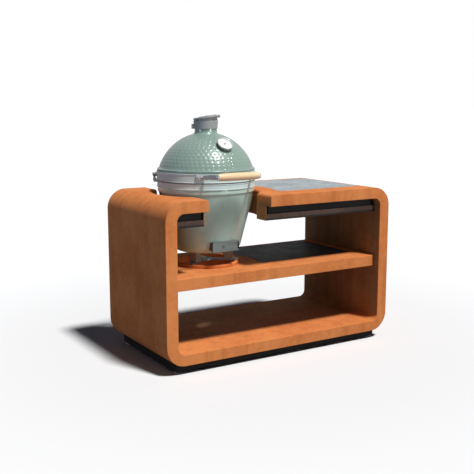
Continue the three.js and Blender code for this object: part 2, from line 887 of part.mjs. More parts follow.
function grateGeometry() {
  const z0 = bowlBottom + bowl.height * ledgeShare + seat;
  const radius = fire.ledgeRadius - fire.ledgeWidth / 4;
  const w = grate.slotWidth / 2;
  const slots = Array.from({ length: grate.slots }, (_, i) => {
    const angle = (i * 2 * Math.PI) / grate.slots;
    const [c, s] = [Math.cos(angle), Math.sin(angle)];
    const { slotInner, slotOuter } = grate;
    const slot = [[slotInner, -w / 2], [slotOuter, -w], [slotOuter, w], [slotInner, w / 2]];
    return slot.map(([x, y]) => [x * c - y * s, x * s + y * c]);
  });
  const disc = arc(0, 0, radius, 0, 2 * Math.PI).slice(1);
  return raise(disc, z0, z0 + grate.thickness, slots);
}

function gridGeometry() {
  const radius = fireBoxRadius() + fire.ringFlare - grid.edge;
  const z = bowlBottom + bowl.height * ringTopShare + seat + 2 * grid.barWire;
  const [inner, outerEdge] = [radius - grid.rimWire, radius + grid.rimWire];
  const [bottom, top] = [z - grid.rimWire / 2, z + grid.rimWire];
  const rim = ring([[inner, bottom], [outerEdge, bottom], [outerEdge, top], [inner, top]]);
  const pieces = [];
  for (let i = 1; i <= grid.bars; i += 1) {
    const x = radius * (-1 + (2 * i) / (grid.bars + 1));
    const reach = Math.sqrt(radius * radius - x * x);
    pieces.push(rodAlongX(grid.barWire, -reach, reach, x, z, grid.sides).rotateZ(Math.PI / 2));
  }
  for (let i = 1; i <= grid.crossBars; i += 1) {
    const y = radius * (-1 + (2 * i) / (grid.crossBars + 1));
    const reach = Math.sqrt(radius * radius - y * y);
    pieces.push(rodAlongX(grid.barWire, -reach, reach, y, z - grid.barWire, grid.sides));
  }
  return join(rim, ...pieces);
}

// A hinge bracket: a strap that hugs the band behind the grill, and two cheeks with eyes on the pin
function hingeBracket(rimRadius, z0, cheekOut, cheekIn) {
  const strapRadius = bandFace(rimRadius);
  const { strapThickness, strapHeight, strapAngle, eyeRadius, behindAxis, pinRadius, fit } = hinge;
  const outerRadius = strapRadius + strapThickness;
  const middle = Math.PI / 2;
  const z1 = z0 + strapHeight;
  const strap = raise([
    ...arc(0, 0, strapRadius, middle - strapAngle, middle + strapAngle),
    ...arc(0, 0, outerRadius, middle + strapAngle, middle - strapAngle),
  ], z0, z1);
  const rootY = Math.sqrt(outerRadius * outerRadius - cheekOut * cheekOut) - strapThickness / 2;
  const tilt = Math.atan2(hingeZ - (z0 + z1) / 2, behindAxis - rootY);
  const outline = [
    [rootY, z0],
    ...arc(behindAxis, hingeZ, eyeRadius, tilt - Math.PI / 2, tilt + Math.PI / 2),
    [rootY, z1],
  ];
  const cheeks = [[cheekIn, cheekOut], [-cheekOut, -cheekIn]].map(([x0, x1]) => carryAcross(outline, x0, x1));
  const bore = rodAlongX(pinRadius + fit, -cheekOut - overrun, cheekOut + overrun, behindAxis, hingeZ);
  const behindBand = cylinder(strapRadius, z0 - bowl.height, z1 + bowl.height, roundSides);
  const boltBores = [-1, 1].map((side) => hingeBolt(side, rimRadius, (z0 + z1) / 2, bolt.fit));
  return cut(join(strap, ...cheeks), bore, behindBand, ...boltBores);
}

function lowerHingeBracket() {
  const z0 = lowerBandBottom + (lowerBandHeight - hinge.strapHeight) / 2;
  return hingeBracket(bowl.rimRadius, z0, hinge.lowerCheekOut, hinge.lowerCheekOut - hinge.cheek);
}

function upperHingeBracket() {
  const z0 = upperBandBottom + (band.upperHeight - hinge.strapHeight) / 2;
  return hingeBracket(dome.rimRadius, z0, hinge.upperCheekOut, hinge.upperCheekOut - hinge.cheek);
}

function hingePinGeometry() {
  const x = hinge.pinLength / 2;
  const { pinRadius, headRadius, headLength, behindAxis } = hinge;
  const profile = [
    [0, -x], [headRadius, -x], [headRadius, -x + headLength], [pinRadius, -x + headLength],
    [pinRadius, x - headLength], [headRadius, x - headLength], [headRadius, x], [0, x],
  ];
  return revolve(profile, smallSides).rotateY(Math.PI / 2).translate(0, behindAxis, hingeZ);
}

// A torsion spring wound round the pin, its two legs reaching forward to the straps of the two brackets
function springGeometry(side) {
  const { wire, coilRadius, pitch, turns, fromMiddle, stepsPerTurn, sides, leg } = spring;
  const steps = turns * stepsPerTurn;
  const points = [];
  const at = (angle, x) => {
    return new THREE.Vector3(side * x, coilRadius * Math.cos(angle), coilRadius * Math.sin(angle));
  };
  const startAngle = -Math.PI / 2;
  const end = startAngle + turns * 2 * Math.PI + Math.PI;
  points.push(at(startAngle, fromMiddle).add(new THREE.Vector3(0, -leg, 0)));
  for (let i = 0; i <= steps + stepsPerTurn / 2; i += 1) {
    const share = i / (steps + stepsPerTurn / 2);
    points.push(at(startAngle + share * (end - startAngle), fromMiddle + share * pitch * (turns + 0.5)));
  }
  points.push(points.at(-1).clone().add(new THREE.Vector3(0, -leg, 0)));
  return wireAlong(points, wire, sides).translate(0, hinge.behindAxis, hingeZ);
}

// A round wire through points: a ring of corners at each point, square to the way the wire runs there
function wireAlong(points, radius, sides) {
  const rings = [];
  let across = new THREE.Vector3(1, 0, 0);
  points.forEach((point, i) => {
    const before = points[Math.max(i - 1, 0)];
    const after = points[Math.min(i + 1, points.length - 1)];
    const along = after.clone().sub(before).normalize();
    across = across.clone().sub(along.clone().multiplyScalar(along.dot(across))).normalize();
    const up = along.clone().cross(across);
    for (let k = 0; k < sides; k += 1) {
      const angle = (k * 2 * Math.PI) / sides;
      const corner = point.clone()
        .addScaledVector(across, radius * Math.cos(angle))
        .addScaledVector(up, radius * Math.sin(angle));
      rings.push(corner.x, corner.y, corner.z);
    }
  });
  const index = [];
  const last = (points.length - 1) * sides;
  for (let i = 0; i < points.length - 1; i += 1) {
    for (let k = 0; k < sides; k += 1) {
      const [a, b] = [i * sides + k, i * sides + (k + 1) % sides];
      index.push(a, b, b + sides, a, b + sides, a + sides);
    }
  }
  for (let k = 1; k < sides - 1; k += 1) index.push(0, k + 1, k, last, last + k, last + k + 1);
  const geometry = new THREE.BufferGeometry();
  geometry.setAttribute('position', new THREE.Float32BufferAttribute(rings, 3));
  geometry.setIndex(index);
  return closed(geometry);
}

// A hexagon-headed bolt through what lies on a band, pointing out at an angle, grown by fit as a cutter
function boltThrough(rimRadius, thickness, angle, z, fit = 0) {
  const shank = thickness + band.flange + band.thickness;
  const head = fit > 0 ? [] : [[bolt.headRadius, seat], [bolt.headRadius, seat + bolt.headHeight]];
  const top = fit > 0 ? overrun : seat + bolt.headHeight;
  const end = fit > 0 ? top : seat;
  const radius = bolt.radius + fit;
  const profile = [[0, -shank - fit], [radius, -shank - fit], [radius, end], ...head, [0, top]];
  const body = revolve(profile, fit > 0 ? smallSides : 6);
  return body.rotateY(Math.PI / 2).translate(bandFace(rimRadius) + thickness, 0, z).rotateZ(angle);
}

function handleArmPlan(side) {
  const radius = bandFace(dome.rimRadius);
  const footAngle = handle.footAngle;
  const front = -Math.PI / 2;
  const halfFoot = handle.footLength / 2 / radius;
  const t = handle.armThickness;
  const x = handle.length / 2 + seat;
  const y = -handle.reach;
  const inner = arc(0, 0, radius, front + footAngle - halfFoot, front + footAngle + halfFoot, fineStep);
  const outer = arc(0, 0, radius + t, front + footAngle + halfFoot, front + footAngle - halfFoot, fineStep);
  const bend = outer.at(-1);
  const plan = [
    ...inner,
    ...outer.slice(0, -1),
    [bend[0] + t, bend[1] - t],
    [x + t, y + handle.endPlate], [x + t, y - handle.endPlate],
    [x, y - handle.endPlate], [x, y + handle.endPlate - t],
    inner[0].map((value, i) => value + (i === 1 ? -t : -t / 2)),
  ];
  return side > 0 ? plan : mirrored(plan);
}

function handleArmGeometry(side) {
  const z = split + handle.aboveSplit;
  const bandMiddle = upperBandBottom + band.upperHeight / 2;
  const z0 = Math.min(bandMiddle, z) - handle.armHeight / 2;
  const z1 = Math.max(bandMiddle, z) + handle.armHeight / 2;
  const bore = rodAlongX(handle.rodRadius + seat, -handle.length, handle.length, -handle.reach, z);
  return cut(raise(handleArmPlan(side), z0, z1), bore, handleBolt(side, bolt.fit));
}

function handleBarGeometry() {
  const x = handle.length / 2;
  const swell = Array.from({ length: handle.swellSteps + 1 }, (_, i) => {
    const share = i / handle.swellSteps;
    const rise = Math.sqrt(Math.sin(Math.PI * share));
    return [handle.endRadius + (handle.radius - handle.endRadius) * rise, -x + 2 * x * share];
  });
  const bore = handle.rodRadius + seat;
  const bar = ring([[bore, -x], ...swell, [bore, x]], roundSides / 2);
  return bar.rotateY(Math.PI / 2).translate(0, -handle.reach, split + handle.aboveSplit);
}

function handleRodGeometry() {
  const x = handle.length / 2 + seat + handle.armThickness + seat;
  const { rodRadius, capRadius, capLength } = handle;
  const profile = [
    [0, -x - capLength], [capRadius, -x - capLength], [capRadius, -x], [rodRadius, -x],
    [rodRadius, x], [capRadius, x], [capRadius, x + capLength], [0, x + capLength],
  ];
  const rod = revolve(profile, smallSides).rotateY(Math.PI / 2);
  return rod.translate(0, -handle.reach, split + handle.aboveSplit);
}

function handleBolt(side, fit = 0) {
  const angle = -Math.PI / 2 + side * handle.footAngle;
  return boltThrough(dome.rimRadius, handle.armThickness, angle, upperBandBottom + band.upperHeight / 2, fit);
}

function hingeBolt(side, rimRadius, z, fit = 0) {
  return boltThrough(rimRadius, hinge.strapThickness, Math.PI / 2 - (side * hinge.strapAngle) / 2, z, fit);
}

// The vent stands on the neck. Its sloping top has a frame of its own: x along the rise, z square to the slope.
const capBottom = split + dome.neckTop - cap.neckOverlap;
const slopeFrame = new THREE.Group();
slopeFrame.position.z = capBottom + cap.height;
slopeFrame.rotation.set(0, -cap.slope, cap.riseTowards, 'ZYX');
slopeFrame.updateMatrix();
const discPivotX = cap.discOffset - cap.discRadius + cap.pivotInset;

function discPivotBore(fit, z0, z1) {
  return cylinder(cap.pivotRadius + fit, z0, z1).translate(discPivotX, 0, 0);
}

function capGeometry() {
  const { bottomRadius, topRadius, height, lugLength, lugWidth, lugHeight, slit } = cap;
  const tall = capBottom + height + topRadius;
  const widest = bottomRadius + (topRadius - bottomRadius) * (tall - capBottom) / height;
  const body = revolve([[0, capBottom], [bottomRadius, capBottom], [widest, tall], [0, tall]]);
  const w = lugWidth / 2;
  const lugTop = capBottom + lugHeight;
  const lug = block(-bottomRadius - lugLength, -bottomRadius + lugLength / 2, -w, w, capBottom, lugTop);
  const [slotEnd, slotHalf] = [-bottomRadius - 2 * lugLength, slit / 2];
  const slot = block(slotEnd, -dome.neckBore, -slotHalf, slotHalf, capBottom - overrun, lugTop);
  const turn = cap.riseTowards;
  const above = block(-2 * topRadius, 2 * topRadius, -2 * topRadius, 2 * topRadius, 0, 3 * topRadius);
  return cut(
    join(body, lug.rotateZ(turn)),
    cylinder(dome.neckRadius + seat, capBottom - overrun, split + dome.neckTop + seat, roundSides),
    cylinder(cap.bore, capBottom, tall + overrun, roundSides / 2),
    slot.rotateZ(turn),
    clampBolt(seat).rotateZ(turn),
    above.applyMatrix4(slopeFrame.matrix),
    discPivotBore(seat, -cap.pivotReach - seat, overrun).applyMatrix4(slopeFrame.matrix),
  );
}

// The screw across the two lugs that clamps the vent on the neck, grown by fit where it cuts its hole
function clampBolt(fit) {
  const { bottomRadius, lugLength, lugWidth, lugHeight } = cap;
  const { clampBoltRadius, clampHeadRadius, clampHeadLength } = cap;
  const end = lugWidth / 2 + seat;
  const profile = [[0, -end], [clampBoltRadius + fit, -end], [clampBoltRadius + fit, end], [0, end]];
  const shank = revolve(profile, smallSides);
  const heads = fit > 0 ? [] : [-1, 1].map((side) => {
    const [z0, z1] = [side * end, side * (end + clampHeadLength)].sort((a, b) => a - b);
    return cylinder(clampHeadRadius, z0, z1, 6);
  });
  const whole = heads.length ? join(shank, ...heads) : shank;
  return whole.rotateX(Math.PI / 2).translate(-bottomRadius - lugLength / 2, 0, capBottom + lugHeight / 2);
}

function aroundDisc(radius, turn, z0, z1) {
  return Array.from({ length: wheel.holes }, (_, i) => {
    const angle = turn + (i * 2 * Math.PI) / wheel.holes;
    const [x, y] = [wheel.holeCircle * Math.cos(angle), wheel.holeCircle * Math.sin(angle)];
    return cylinder(radius, z0, z1).translate(cap.discOffset + x, y, 0);
  });
}

function ventDiscGeometry() {
  const { discRadius, discThickness, discEdge, discOffset } = cap;
  const [z0, z1] = [seat, seat + discThickness];
  const disc = revolve([
    [0, z0], [discRadius - discEdge, z0], [discRadius, z0 + discEdge], [discRadius, z1 - discEdge],
    [discRadius - discEdge, z1], [0, z1],
  ]).translate(discOffset, 0, 0);
  return cut(
    disc,
    discPivotBore(seat, -overrun, z1 + overrun),
    cylinder(wheel.pivotRadius + seat, -overrun, z1 + overrun).translate(discOffset, 0, 0),
    ...aroundDisc(wheel.holeRadius, 0, -overrun, z1 + overrun),
  );
}

function daisyWheelGeometry() {
  const z0 = seat + cap.discThickness + seat;
  const z1 = z0 + wheel.thickness;
  const disc = cylinder(wheel.radius, z0, z1, 2 * smallSides).translate(cap.discOffset, 0, 0);
  const t = wheel.tabLength;
  const tab = block(wheel.radius - t, wheel.radius + t, -t / 2, t / 2, z0, z1).translate(cap.discOffset, 0, 0);
  return cut(
    join(disc, tab),
    cylinder(wheel.pivotRadius + seat, -overrun, z1 + overrun).translate(cap.discOffset, 0, 0),
    ...aroundDisc(wheel.holeRadius, Math.PI / wheel.holes, z0 - overrun, z1 + overrun),
  );
}

function wheelPivotGeometry() {
  const top = seat + cap.discThickness + seat + wheel.thickness + seat;
  const { pivotRadius, pivotHead } = wheel;
  return revolve([
    [0, 2 * seat], [pivotRadius, 2 * seat], [pivotRadius, top], [pivotHead, top],
    [pivotHead - wheel.thickness / 2, top + wheel.thickness], [0, top + wheel.thickness],
  ], smallSides).translate(cap.discOffset, 0, 0);
}

function discPivotGeometry() {
  const top = seat + cap.discThickness + seat;
  const { pivotRadius, pivotHead, pivotReach, discEdge } = cap;
  return revolve([
    [0, -pivotReach], [pivotRadius, -pivotReach], [pivotRadius, top], [pivotHead, top],
    [pivotHead, top + discEdge], [pivotHead - discEdge / 2, top + 2 * discEdge], [0, top + 2 * discEdge],
  ], smallSides).translate(discPivotX, 0, 0);
}

// The thermometer's frame: z along its stem, zero on the dome's surface
const dialFrame = new THREE.Group();
dialFrame.rotation.set(Math.PI / 2 - thermometer.elevation, 0, thermometer.turn, 'ZYX');
const dialPlace = new THREE.Vector3(0, 0, dome.sphereRadius).applyEuler(dialFrame.rotation);
dialFrame.position.set(dialPlace.x, dialPlace.y, dialPlace.z + domeCentre);
dialFrame.updateMatrix();

function thermometerCaseGeometry() {
  const { caseRadius, caseDepth, rimWidth, standOff, nutRadius, washer, stemRadius, stemLength } = thermometer;
  const [z0, z1] = [standOff, standOff + caseDepth];
  return revolve([
    [0, -stemLength], [stemRadius, stemRadius - stemLength], [stemRadius, 2 * washer],
    [nutRadius, 2 * washer], [nutRadius, z0], [caseRadius - rimWidth, z0], [caseRadius, z0 + rimWidth],
    [caseRadius, z1 - washer], [caseRadius - washer, z1], [caseRadius - rimWidth, z1 - washer],
    [caseRadius - rimWidth, z0 + rimWidth], [0, z0 + rimWidth],
  ], 2 * smallSides);
}

function dialGeometry() {
  const z0 = thermometer.standOff + thermometer.rimWidth + seat;
  const radius = thermometer.caseRadius - thermometer.rimWidth - seat;
  return cylinder(radius, z0, z0 + thermometer.dialThickness, 2 * smallSides);
}

function needleGeometry() {
  const { dialThickness, needleLength, needleTail, needleWidth, needleThickness, hubRadius } = thermometer;
  const z0 = thermometer.standOff + thermometer.rimWidth + seat + dialThickness + seat;
  const w = needleWidth / 2;
  const outline = [[-needleTail, -w], [needleLength, -w / 4], [needleLength, w / 4], [-needleTail, w]];
  const blade = raise(outline, z0, z0 + needleThickness);
  const hub = cylinder(hubRadius, z0, z0 + 2 * needleThickness);
  return join(blade, hub).rotateZ(thermometer.needleRest);
}

function glassGeometry() {
  const { caseRadius, caseDepth, rimWidth, standOff, glassDrop, glassThickness } = thermometer;
  const z1 = standOff + caseDepth - glassDrop - seat;
  return cylinder(caseRadius - rimWidth - seat, z1 - glassThickness, z1, 2 * smallSides);
}

function stemNutGeometry() {
  const { stemRadius, nutRadius, nutHeight, washer } = thermometer;
  const z1 = washer - dome.wall - seat;
  const hexagon = cylinder(nutRadius, z1 - nutHeight, z1, 6);
  return cut(hexagon, cylinder(stemRadius + seat, z1 - nutHeight - overrun, z1 + overrun));
}

// The air inlet: a sleeve through the bowl's wall, a face plate, and rails for a mesh screen and a solid door
const draftBottom = bowlBottom + draft.aboveFloor;
const draftBack = -(bowlInnerRadius(draft.aboveFloor + draft.height) + bowl.wall + seat);
const sleeveEnd = draftBack + bowl.wall + draft.height / 2;

function draftFrameGeometry() {
  const { height, width, plate, rail, lipHeight, lip, slot, sleeve } = draft;
  const [slot1, lip1] = [plate + slot, plate + slot + lip];
  const [slot2, lip2] = [lip1 + slot, lip1 + slot + lip];
  const comb = [
    [lip2, 0], [lip2, rail + lipHeight], [slot2, rail + lipHeight], [slot2, rail], [lip1, rail],
    [lip1, rail + lipHeight], [slot1, rail + lipHeight], [slot1, rail], [plate, rail],
  ];
  const outline = [
    [0, 0], ...comb, ...comb.map(([v, z]) => [v, height - z]).reverse(), [0, height],
  ].map(([v, z]) => [draftBack - v, draftBottom + z]);
  const rails = carryAcross(outline, -width / 2, width / 2);
  const { x0, x1, z0, z1 } = draftOpening();
  const tube = block(x0 - sleeve, x1 + sleeve, draftBack - plate / 2, sleeveEnd, z0 - sleeve, z1 + sleeve);
  const way = block(x0, x1, draftBack - height, sleeveEnd + overrun, z0, z1);
  return cut(join(rails, tube), way);
}

function panelOutline() {
  const x1 = -draft.width / 2 + draft.panelWidth;
  const z0 = draftBottom + draft.rail + seat;
  const z1 = draftBottom + draft.height - draft.rail - seat;
  return { x0: x1 - draft.panelWidth, x1, z0, z1 };
}

// How far in front of the frame's back each panel's near face lies: the screen runs in the first slot
function panelDepth(slotNumber) {
  const { plate, slot, lip, panel } = draft;
  return plate + (slotNumber - 1) * (slot + lip) + (slot - panel) / 2;
}

function draftPanel(slotNumber) {
  const { x0, x1, z0, z1 } = panelOutline();
  const near = draftBack - panelDepth(slotNumber);
  return block(x0, x1, near - draft.panel, near, z0, z1);
}

function draftScreenGeometry() {
  const { x0, x1, z0, z1 } = draftOpening();
  const { screenColumns, screenRows, screenHole } = draft;
  const holes = [];
  for (let column = 0; column < screenColumns; column += 1) {
    for (let row = 0; row < screenRows; row += 1) {
      const cx = x0 + ((column + 0.5) * (x1 - x0)) / screenColumns;
      const cz = z0 + ((row + 0.5) * (z1 - z0)) / screenRows;
      const w = screenHole / 2;
      holes.push(block(cx - w, cx + w, draftBack - draft.width, draftBack, cz - w, cz + w));
    }
  }
  return cut(draftPanel(1), ...holes);
}

function draftKnobGeometry() {
  const { x1 } = panelOutline();
  const { knobRadius, knobLength, panel } = draft;
  const face = draftBack - panelDepth(2) - panel / 2;
  const profile = [
    [0, 0], [knobRadius / 2, 0], [knobRadius / 2, knobLength / 2], [knobRadius, knobLength / 2],
    [knobRadius, knobLength - seat], [0, knobLength],
  ];
  const knob = revolve(profile, smallSides).rotateX(Math.PI / 2);
  return knob.translate(x1 - 2 * knobRadius, face, draftBottom + draft.height / 2);
}

// The assembly
const sides = [-1, 1];

function piece(name, geometry, material) {
  const mesh = new THREE.Mesh(closed(geometry), material);
  mesh.name = name;
  return mesh;
}

function tableGroup() {
  const right = apronGeometries(apronLine);
  const left = apronGeometries(leftApronLine);
  const group = new THREE.Group();
  group.add(
    piece('steel_casing', casingGeometry(), finishes.rust),
    piece('worktop_inlay', worktopInlayGeometry(), finishes.stone),
    piece('apron_web_right', right.web, finishes.blackSteel),
    piece('apron_band_right', right.band, finishes.brownSteel),
    piece('apron_web_left', left.web, finishes.blackSteel),
    piece('apron_band_left', left.band, finishes.brownSteel),
    piece('shelf_casing', shelfGeometry(), finishes.rust),
    piece('shelf_inlay', shelfInlayGeometry(), finishes.stone),
    piece('shelf_rail_left', shelfRailGeometry(-1), finishes.blackSteel),
    piece('shelf_rail_right', shelfRailGeometry(1), finishes.blackSteel),
    piece('plinth_frame', plinthGeometry(), finishes.blackSteel),
  );
  footPlaces().forEach(([x, y], i) => {
    const levellingFoot = piece(`levelling_foot_${footNames[i]}`, levellingFootGeometry(), finishes.zinc);
    levellingFoot.position.set(x, y, 0);
    group.add(levellingFoot);
  });
  return group;
}

function standGroup() {
  const group = new THREE.Group();
  group.add(
    piece('shelf_ring', shelfRingGeometry(), finishes.rust),
    piece('stand_spider', standSpiderGeometry(), finishes.zinc),
    ...armAngles().map((angle, i) => {
      return piece(`stand_block_${armNames[i]}`, standBlockGeometry(angle), finishes.firebrick);
    }),
  );
  return group;
}

function bowlGroup() {
  const strapZ = lowerBandBottom + lowerBandHeight / 2;
  const strapBores = sides.map((side) => hingeBolt(side, bowl.rimRadius, strapZ, bolt.fit));
  const lowerBand = bandRing(bowl.rimRadius, lowerBandBottom, lowerBandHeight);
  const group = new THREE.Group();
  group.add(
    piece('kamado_bowl', bowlGeometry(), finishes.glaze),
    piece('lower_band', cut(lowerBand, ...strapBores), finishes.bandSteel),
    piece('lower_gasket', gasketRing(bowlTop + seat), finishes.felt),
    piece('lower_hinge_bracket', lowerHingeBracket(), finishes.bandSteel),
    piece('lower_hinge_bolt_left', hingeBolt(-1, bowl.rimRadius, strapZ), finishes.steel),
    piece('lower_hinge_bolt_right', hingeBolt(1, bowl.rimRadius, strapZ), finishes.steel),
    piece('hinge_pin', hingePinGeometry(), finishes.steel),
    piece('hinge_spring_left', springGeometry(-1), finishes.steel),
    piece('hinge_spring_right', springGeometry(1), finishes.steel),
    piece('fire_box', fireBoxGeometry(), finishes.firebrick),
    piece('fire_grate', grateGeometry(), finishes.castIron),
    piece('fire_ring', fireRingGeometry(), finishes.firebrick),
    piece('cooking_grid', gridGeometry(), finishes.steel),
    piece('draft_frame', draftFrameGeometry(), finishes.steel),
    piece('draft_screen', draftScreenGeometry(), finishes.steel),
    piece('draft_door', join(draftPanel(2), draftKnobGeometry()), finishes.steel),
  );
  return group;
}

function domeGroup() {
  const strapZ = upperBandBottom + band.upperHeight / 2;
  const boresAt = (side) => [hingeBolt(side, dome.rimRadius, strapZ, bolt.fit), handleBolt(side, bolt.fit)];
  const upperBand = bandRing(dome.rimRadius, upperBandBottom, band.upperHeight);
  const group = new THREE.Group();
  group.add(
    piece('kamado_dome', domeGeometry(), finishes.glaze),
    piece('upper_band', cut(upperBand, ...sides.flatMap(boresAt)), finishes.bandSteel),
    piece('upper_gasket', gasketRing(domeBottom - seat - gasket.thickness), finishes.felt),
    piece('upper_hinge_bracket', upperHingeBracket(), finishes.bandSteel),
    piece('upper_hinge_bolt_left', hingeBolt(-1, dome.rimRadius, strapZ), finishes.steel),
    piece('upper_hinge_bolt_right', hingeBolt(1, dome.rimRadius, strapZ), finishes.steel),
    piece('handle_bar', handleBarGeometry(), finishes.wood),
    piece('handle_rod', handleRodGeometry(), finishes.steel),
    piece('handle_arm_left', handleArmGeometry(-1), finishes.bandSteel),
    piece('handle_arm_right', handleArmGeometry(1), finishes.bandSteel),
    piece('handle_bolt_left', handleBolt(-1), finishes.steel),
    piece('handle_bolt_right', handleBolt(1), finishes.steel),
  );
  return group;
}

function ventGroup() {
  const group = new THREE.Group();
  const onSlope = new THREE.Group();
  onSlope.position.copy(slopeFrame.position);
  onSlope.rotation.copy(slopeFrame.rotation);
  onSlope.add(
    piece('vent_disc', ventDiscGeometry(), finishes.castIron),
    piece('disc_pivot', discPivotGeometry(), finishes.steel),
    piece('daisy_wheel', daisyWheelGeometry(), finishes.castIron),
    piece('wheel_pivot', wheelPivotGeometry(), finishes.steel),
  );
  group.add(
    piece('cap_body', capGeometry(), finishes.castIron),
    piece('cap_clamp_bolt', clampBolt(0).rotateZ(cap.riseTowards), finishes.steel),
    onSlope,
  );
  return group;
}

function thermometerGroup() {
  const group = new THREE.Group();
  group.position.copy(dialFrame.position);
  group.rotation.copy(dialFrame.rotation);
  group.add(
    piece('thermometer_case', thermometerCaseGeometry(), finishes.steel),
    piece('thermometer_dial', dialGeometry(), finishes.dial),
    piece('thermometer_needle', needleGeometry(), finishes.needle),
    piece('thermometer_glass', glassGeometry(), finishes.glass),
    piece('thermometer_nut', stemNutGeometry(), finishes.steel),
  );
  return group;
}

const group = new THREE.Group();
const grill = new THREE.Group();
grill.position.x = grillX;
grill.add(standGroup(), bowlGroup(), domeGroup(), ventGroup(), thermometerGroup());
group.add(tableGroup(), grill);

export default group;
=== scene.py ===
"""The looks of an outdoor kitchen table in weathering steel with a ceramic kamado grill.

Every piece is a surface worked out with numpy in millimetres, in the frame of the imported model, and is turned
into a mesh in metres. Each sub-assembly is a class that holds its sizes, builds its meshes and dresses them.
"""

import logging
import math
from dataclasses import dataclass, field
from enum import Enum
from typing import Callable, Iterable, Optional, Sequence, Union

import bmesh
import bpy
import numpy as np
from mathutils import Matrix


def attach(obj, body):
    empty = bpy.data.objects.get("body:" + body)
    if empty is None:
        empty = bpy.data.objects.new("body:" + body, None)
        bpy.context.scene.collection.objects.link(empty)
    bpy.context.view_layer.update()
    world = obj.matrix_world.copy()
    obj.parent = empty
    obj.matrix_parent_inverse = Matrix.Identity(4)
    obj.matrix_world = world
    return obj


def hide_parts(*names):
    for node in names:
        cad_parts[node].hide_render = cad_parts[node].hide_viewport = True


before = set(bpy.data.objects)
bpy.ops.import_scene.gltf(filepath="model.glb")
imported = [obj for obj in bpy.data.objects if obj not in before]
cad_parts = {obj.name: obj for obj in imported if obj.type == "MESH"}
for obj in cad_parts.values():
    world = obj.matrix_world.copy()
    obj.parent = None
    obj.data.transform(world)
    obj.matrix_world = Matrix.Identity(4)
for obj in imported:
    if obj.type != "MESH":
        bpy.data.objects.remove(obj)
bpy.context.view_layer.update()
LOG = logging.getLogger("kamado_table")
MM = 0.001
QUARTER = math.pi / 2
TURN = 2 * math.pi
# The gap between pieces that rest on each other, and the place of the grill's axis, in millimetres
SEAT = 0.3
AXIS_X = -300.0
UPRIGHT = np.array([[0, 0, 1], [1, 0, 0], [0, 1, 0]])
Node = bpy.types.Node
Socket = bpy.types.NodeSocket
Tree = bpy.types.NodeTree
Obj = bpy.types.Object
Pair = tuple[float, float]
Triple = tuple[float, float, float]
Outline = tuple[Pair, ...]


class Body(Enum):
    """The rigid bodies that the scene's own pieces ride on."""

    TABLE = "table"
    LID = "lid"
    VENT = "vent"
    WHEEL = "daisy_wheel"
    DOOR = "draft_door"
    SCREEN = "draft_screen"


# Curves and profiles


def arc(cx: float, cy: float, radius: float, start: float, end: float, steps: int = 12) -> np.ndarray:
    """Points of a circle's arc about cx, cy from one angle to another, in as many pieces as steps says."""
    angle = np.linspace(start, end, steps + 1)
    return np.column_stack((cx + radius * np.cos(angle), cy + radius * np.sin(angle)))


def full_circle(cx: float, cy: float, radius: float, steps: int) -> np.ndarray:
    """A whole circle as a closed outline, anticlockwise."""
    return arc(cx, cy, radius, 0, TURN, steps)[:-1]


def spokes(count: int) -> np.ndarray:
    """Evenly spaced angles round a whole turn."""
    return np.arange(count) * TURN / count


def loop_corners(x: float, low: float, high: float, radius: float) -> np.ndarray:
    """The four round corners of a loop: upper left, lower left, lower right and upper right."""
    centres = ((-x, high), (-x, low), (x, low), (x, high))
    turns = [arc(cx, cz, radius, (k + 1) * QUARTER, (k + 2) * QUARTER) for k, (cx, cz) in enumerate(centres)]
    return np.vstack(turns)


def low_dome(radius: float, base: float, rise: float, points: int) -> np.ndarray:
    """Profile of a low domed head: a quarter of an ellipse from its edge at base to the axis."""
    angle = np.linspace(0, QUARTER, points)
    return np.column_stack((radius * np.cos(angle), base + rise * np.sin(angle)))


def helix(x: float, pitch: float, radius: float, start: float, turns: float, count: int) -> np.ndarray:
    """Points of a helix about the first axis: each turn goes pitch along it, from x and the angle start."""
    turn = np.linspace(0, turns, count)
    angle = start + turn * TURN
    return np.column_stack((x + pitch * turn, radius * np.cos(angle), radius * np.sin(angle)))


def raised(plan: np.ndarray, z: Union[float, np.ndarray]) -> np.ndarray:
    """Points with a last coordinate added, the same for all or one for each."""
    return np.column_stack((plan, np.broadcast_to(z, len(plan))))


def hand(side: int) -> str:
    """The name of a side: 1 is right and -1 is left."""
    return "left" if side < 0 else "right"


def rounded(profile: Sequence[Pair], radius: float, steps: int = 3, closed: bool = True) -> np.ndarray:
    """A polygon whose corners are rounded, each by a quadratic curve through three control points.

    Args:
        profile: the corners, in order.
        radius: how far along each side the rounding starts, at most 0.45 of the side.
        steps: pieces per corner.
        closed: whether the last corner joins the first.

    Returns:
        The rounded outline as an array of points.
    """
    corner = np.asarray(profile, float)
    ends = []
    for shift in (1, -1):
        side = np.roll(corner, shift, axis=0) - corner
        length = np.maximum(np.linalg.norm(side, axis=1, keepdims=True), 1e-9)
        ends.append(corner + side * np.minimum(radius / length, 0.45))
        if not closed:
            ends[-1][[0, -1]] = corner[[0, -1]]
    start, end = ends
    t = np.linspace(0, 1, steps + 1)[None, :, None]
    curve = (1 - t) ** 2 * start[:, None] + 2 * t * (1 - t) * corner[:, None] + t**2 * end[:, None]
    flat = curve.reshape(-1, 2)
    keep = np.ones(len(flat), bool)
    keep[1:] = np.linalg.norm(np.diff(flat, axis=0), axis=1) > 1e-6
    return flat[keep]


def soft_box(x0: float, y0: float, x1: float, y1: float, radius: float, steps: int = 3) -> np.ndarray:
    """A rectangle with rounded corners, anticlockwise from the corner x0, y0."""
    return rounded([(x0, y0), (x1, y0), (x1, y1), (x0, y1)], radius, steps)


def smooth(value: np.ndarray, low: object, high: object) -> np.ndarray:
    """A smooth step from 0 at low to 1 at high."""
    share = np.clip((value - low) / (np.asarray(high) - low), 0, 1)
    return share * share * (3 - 2 * share)


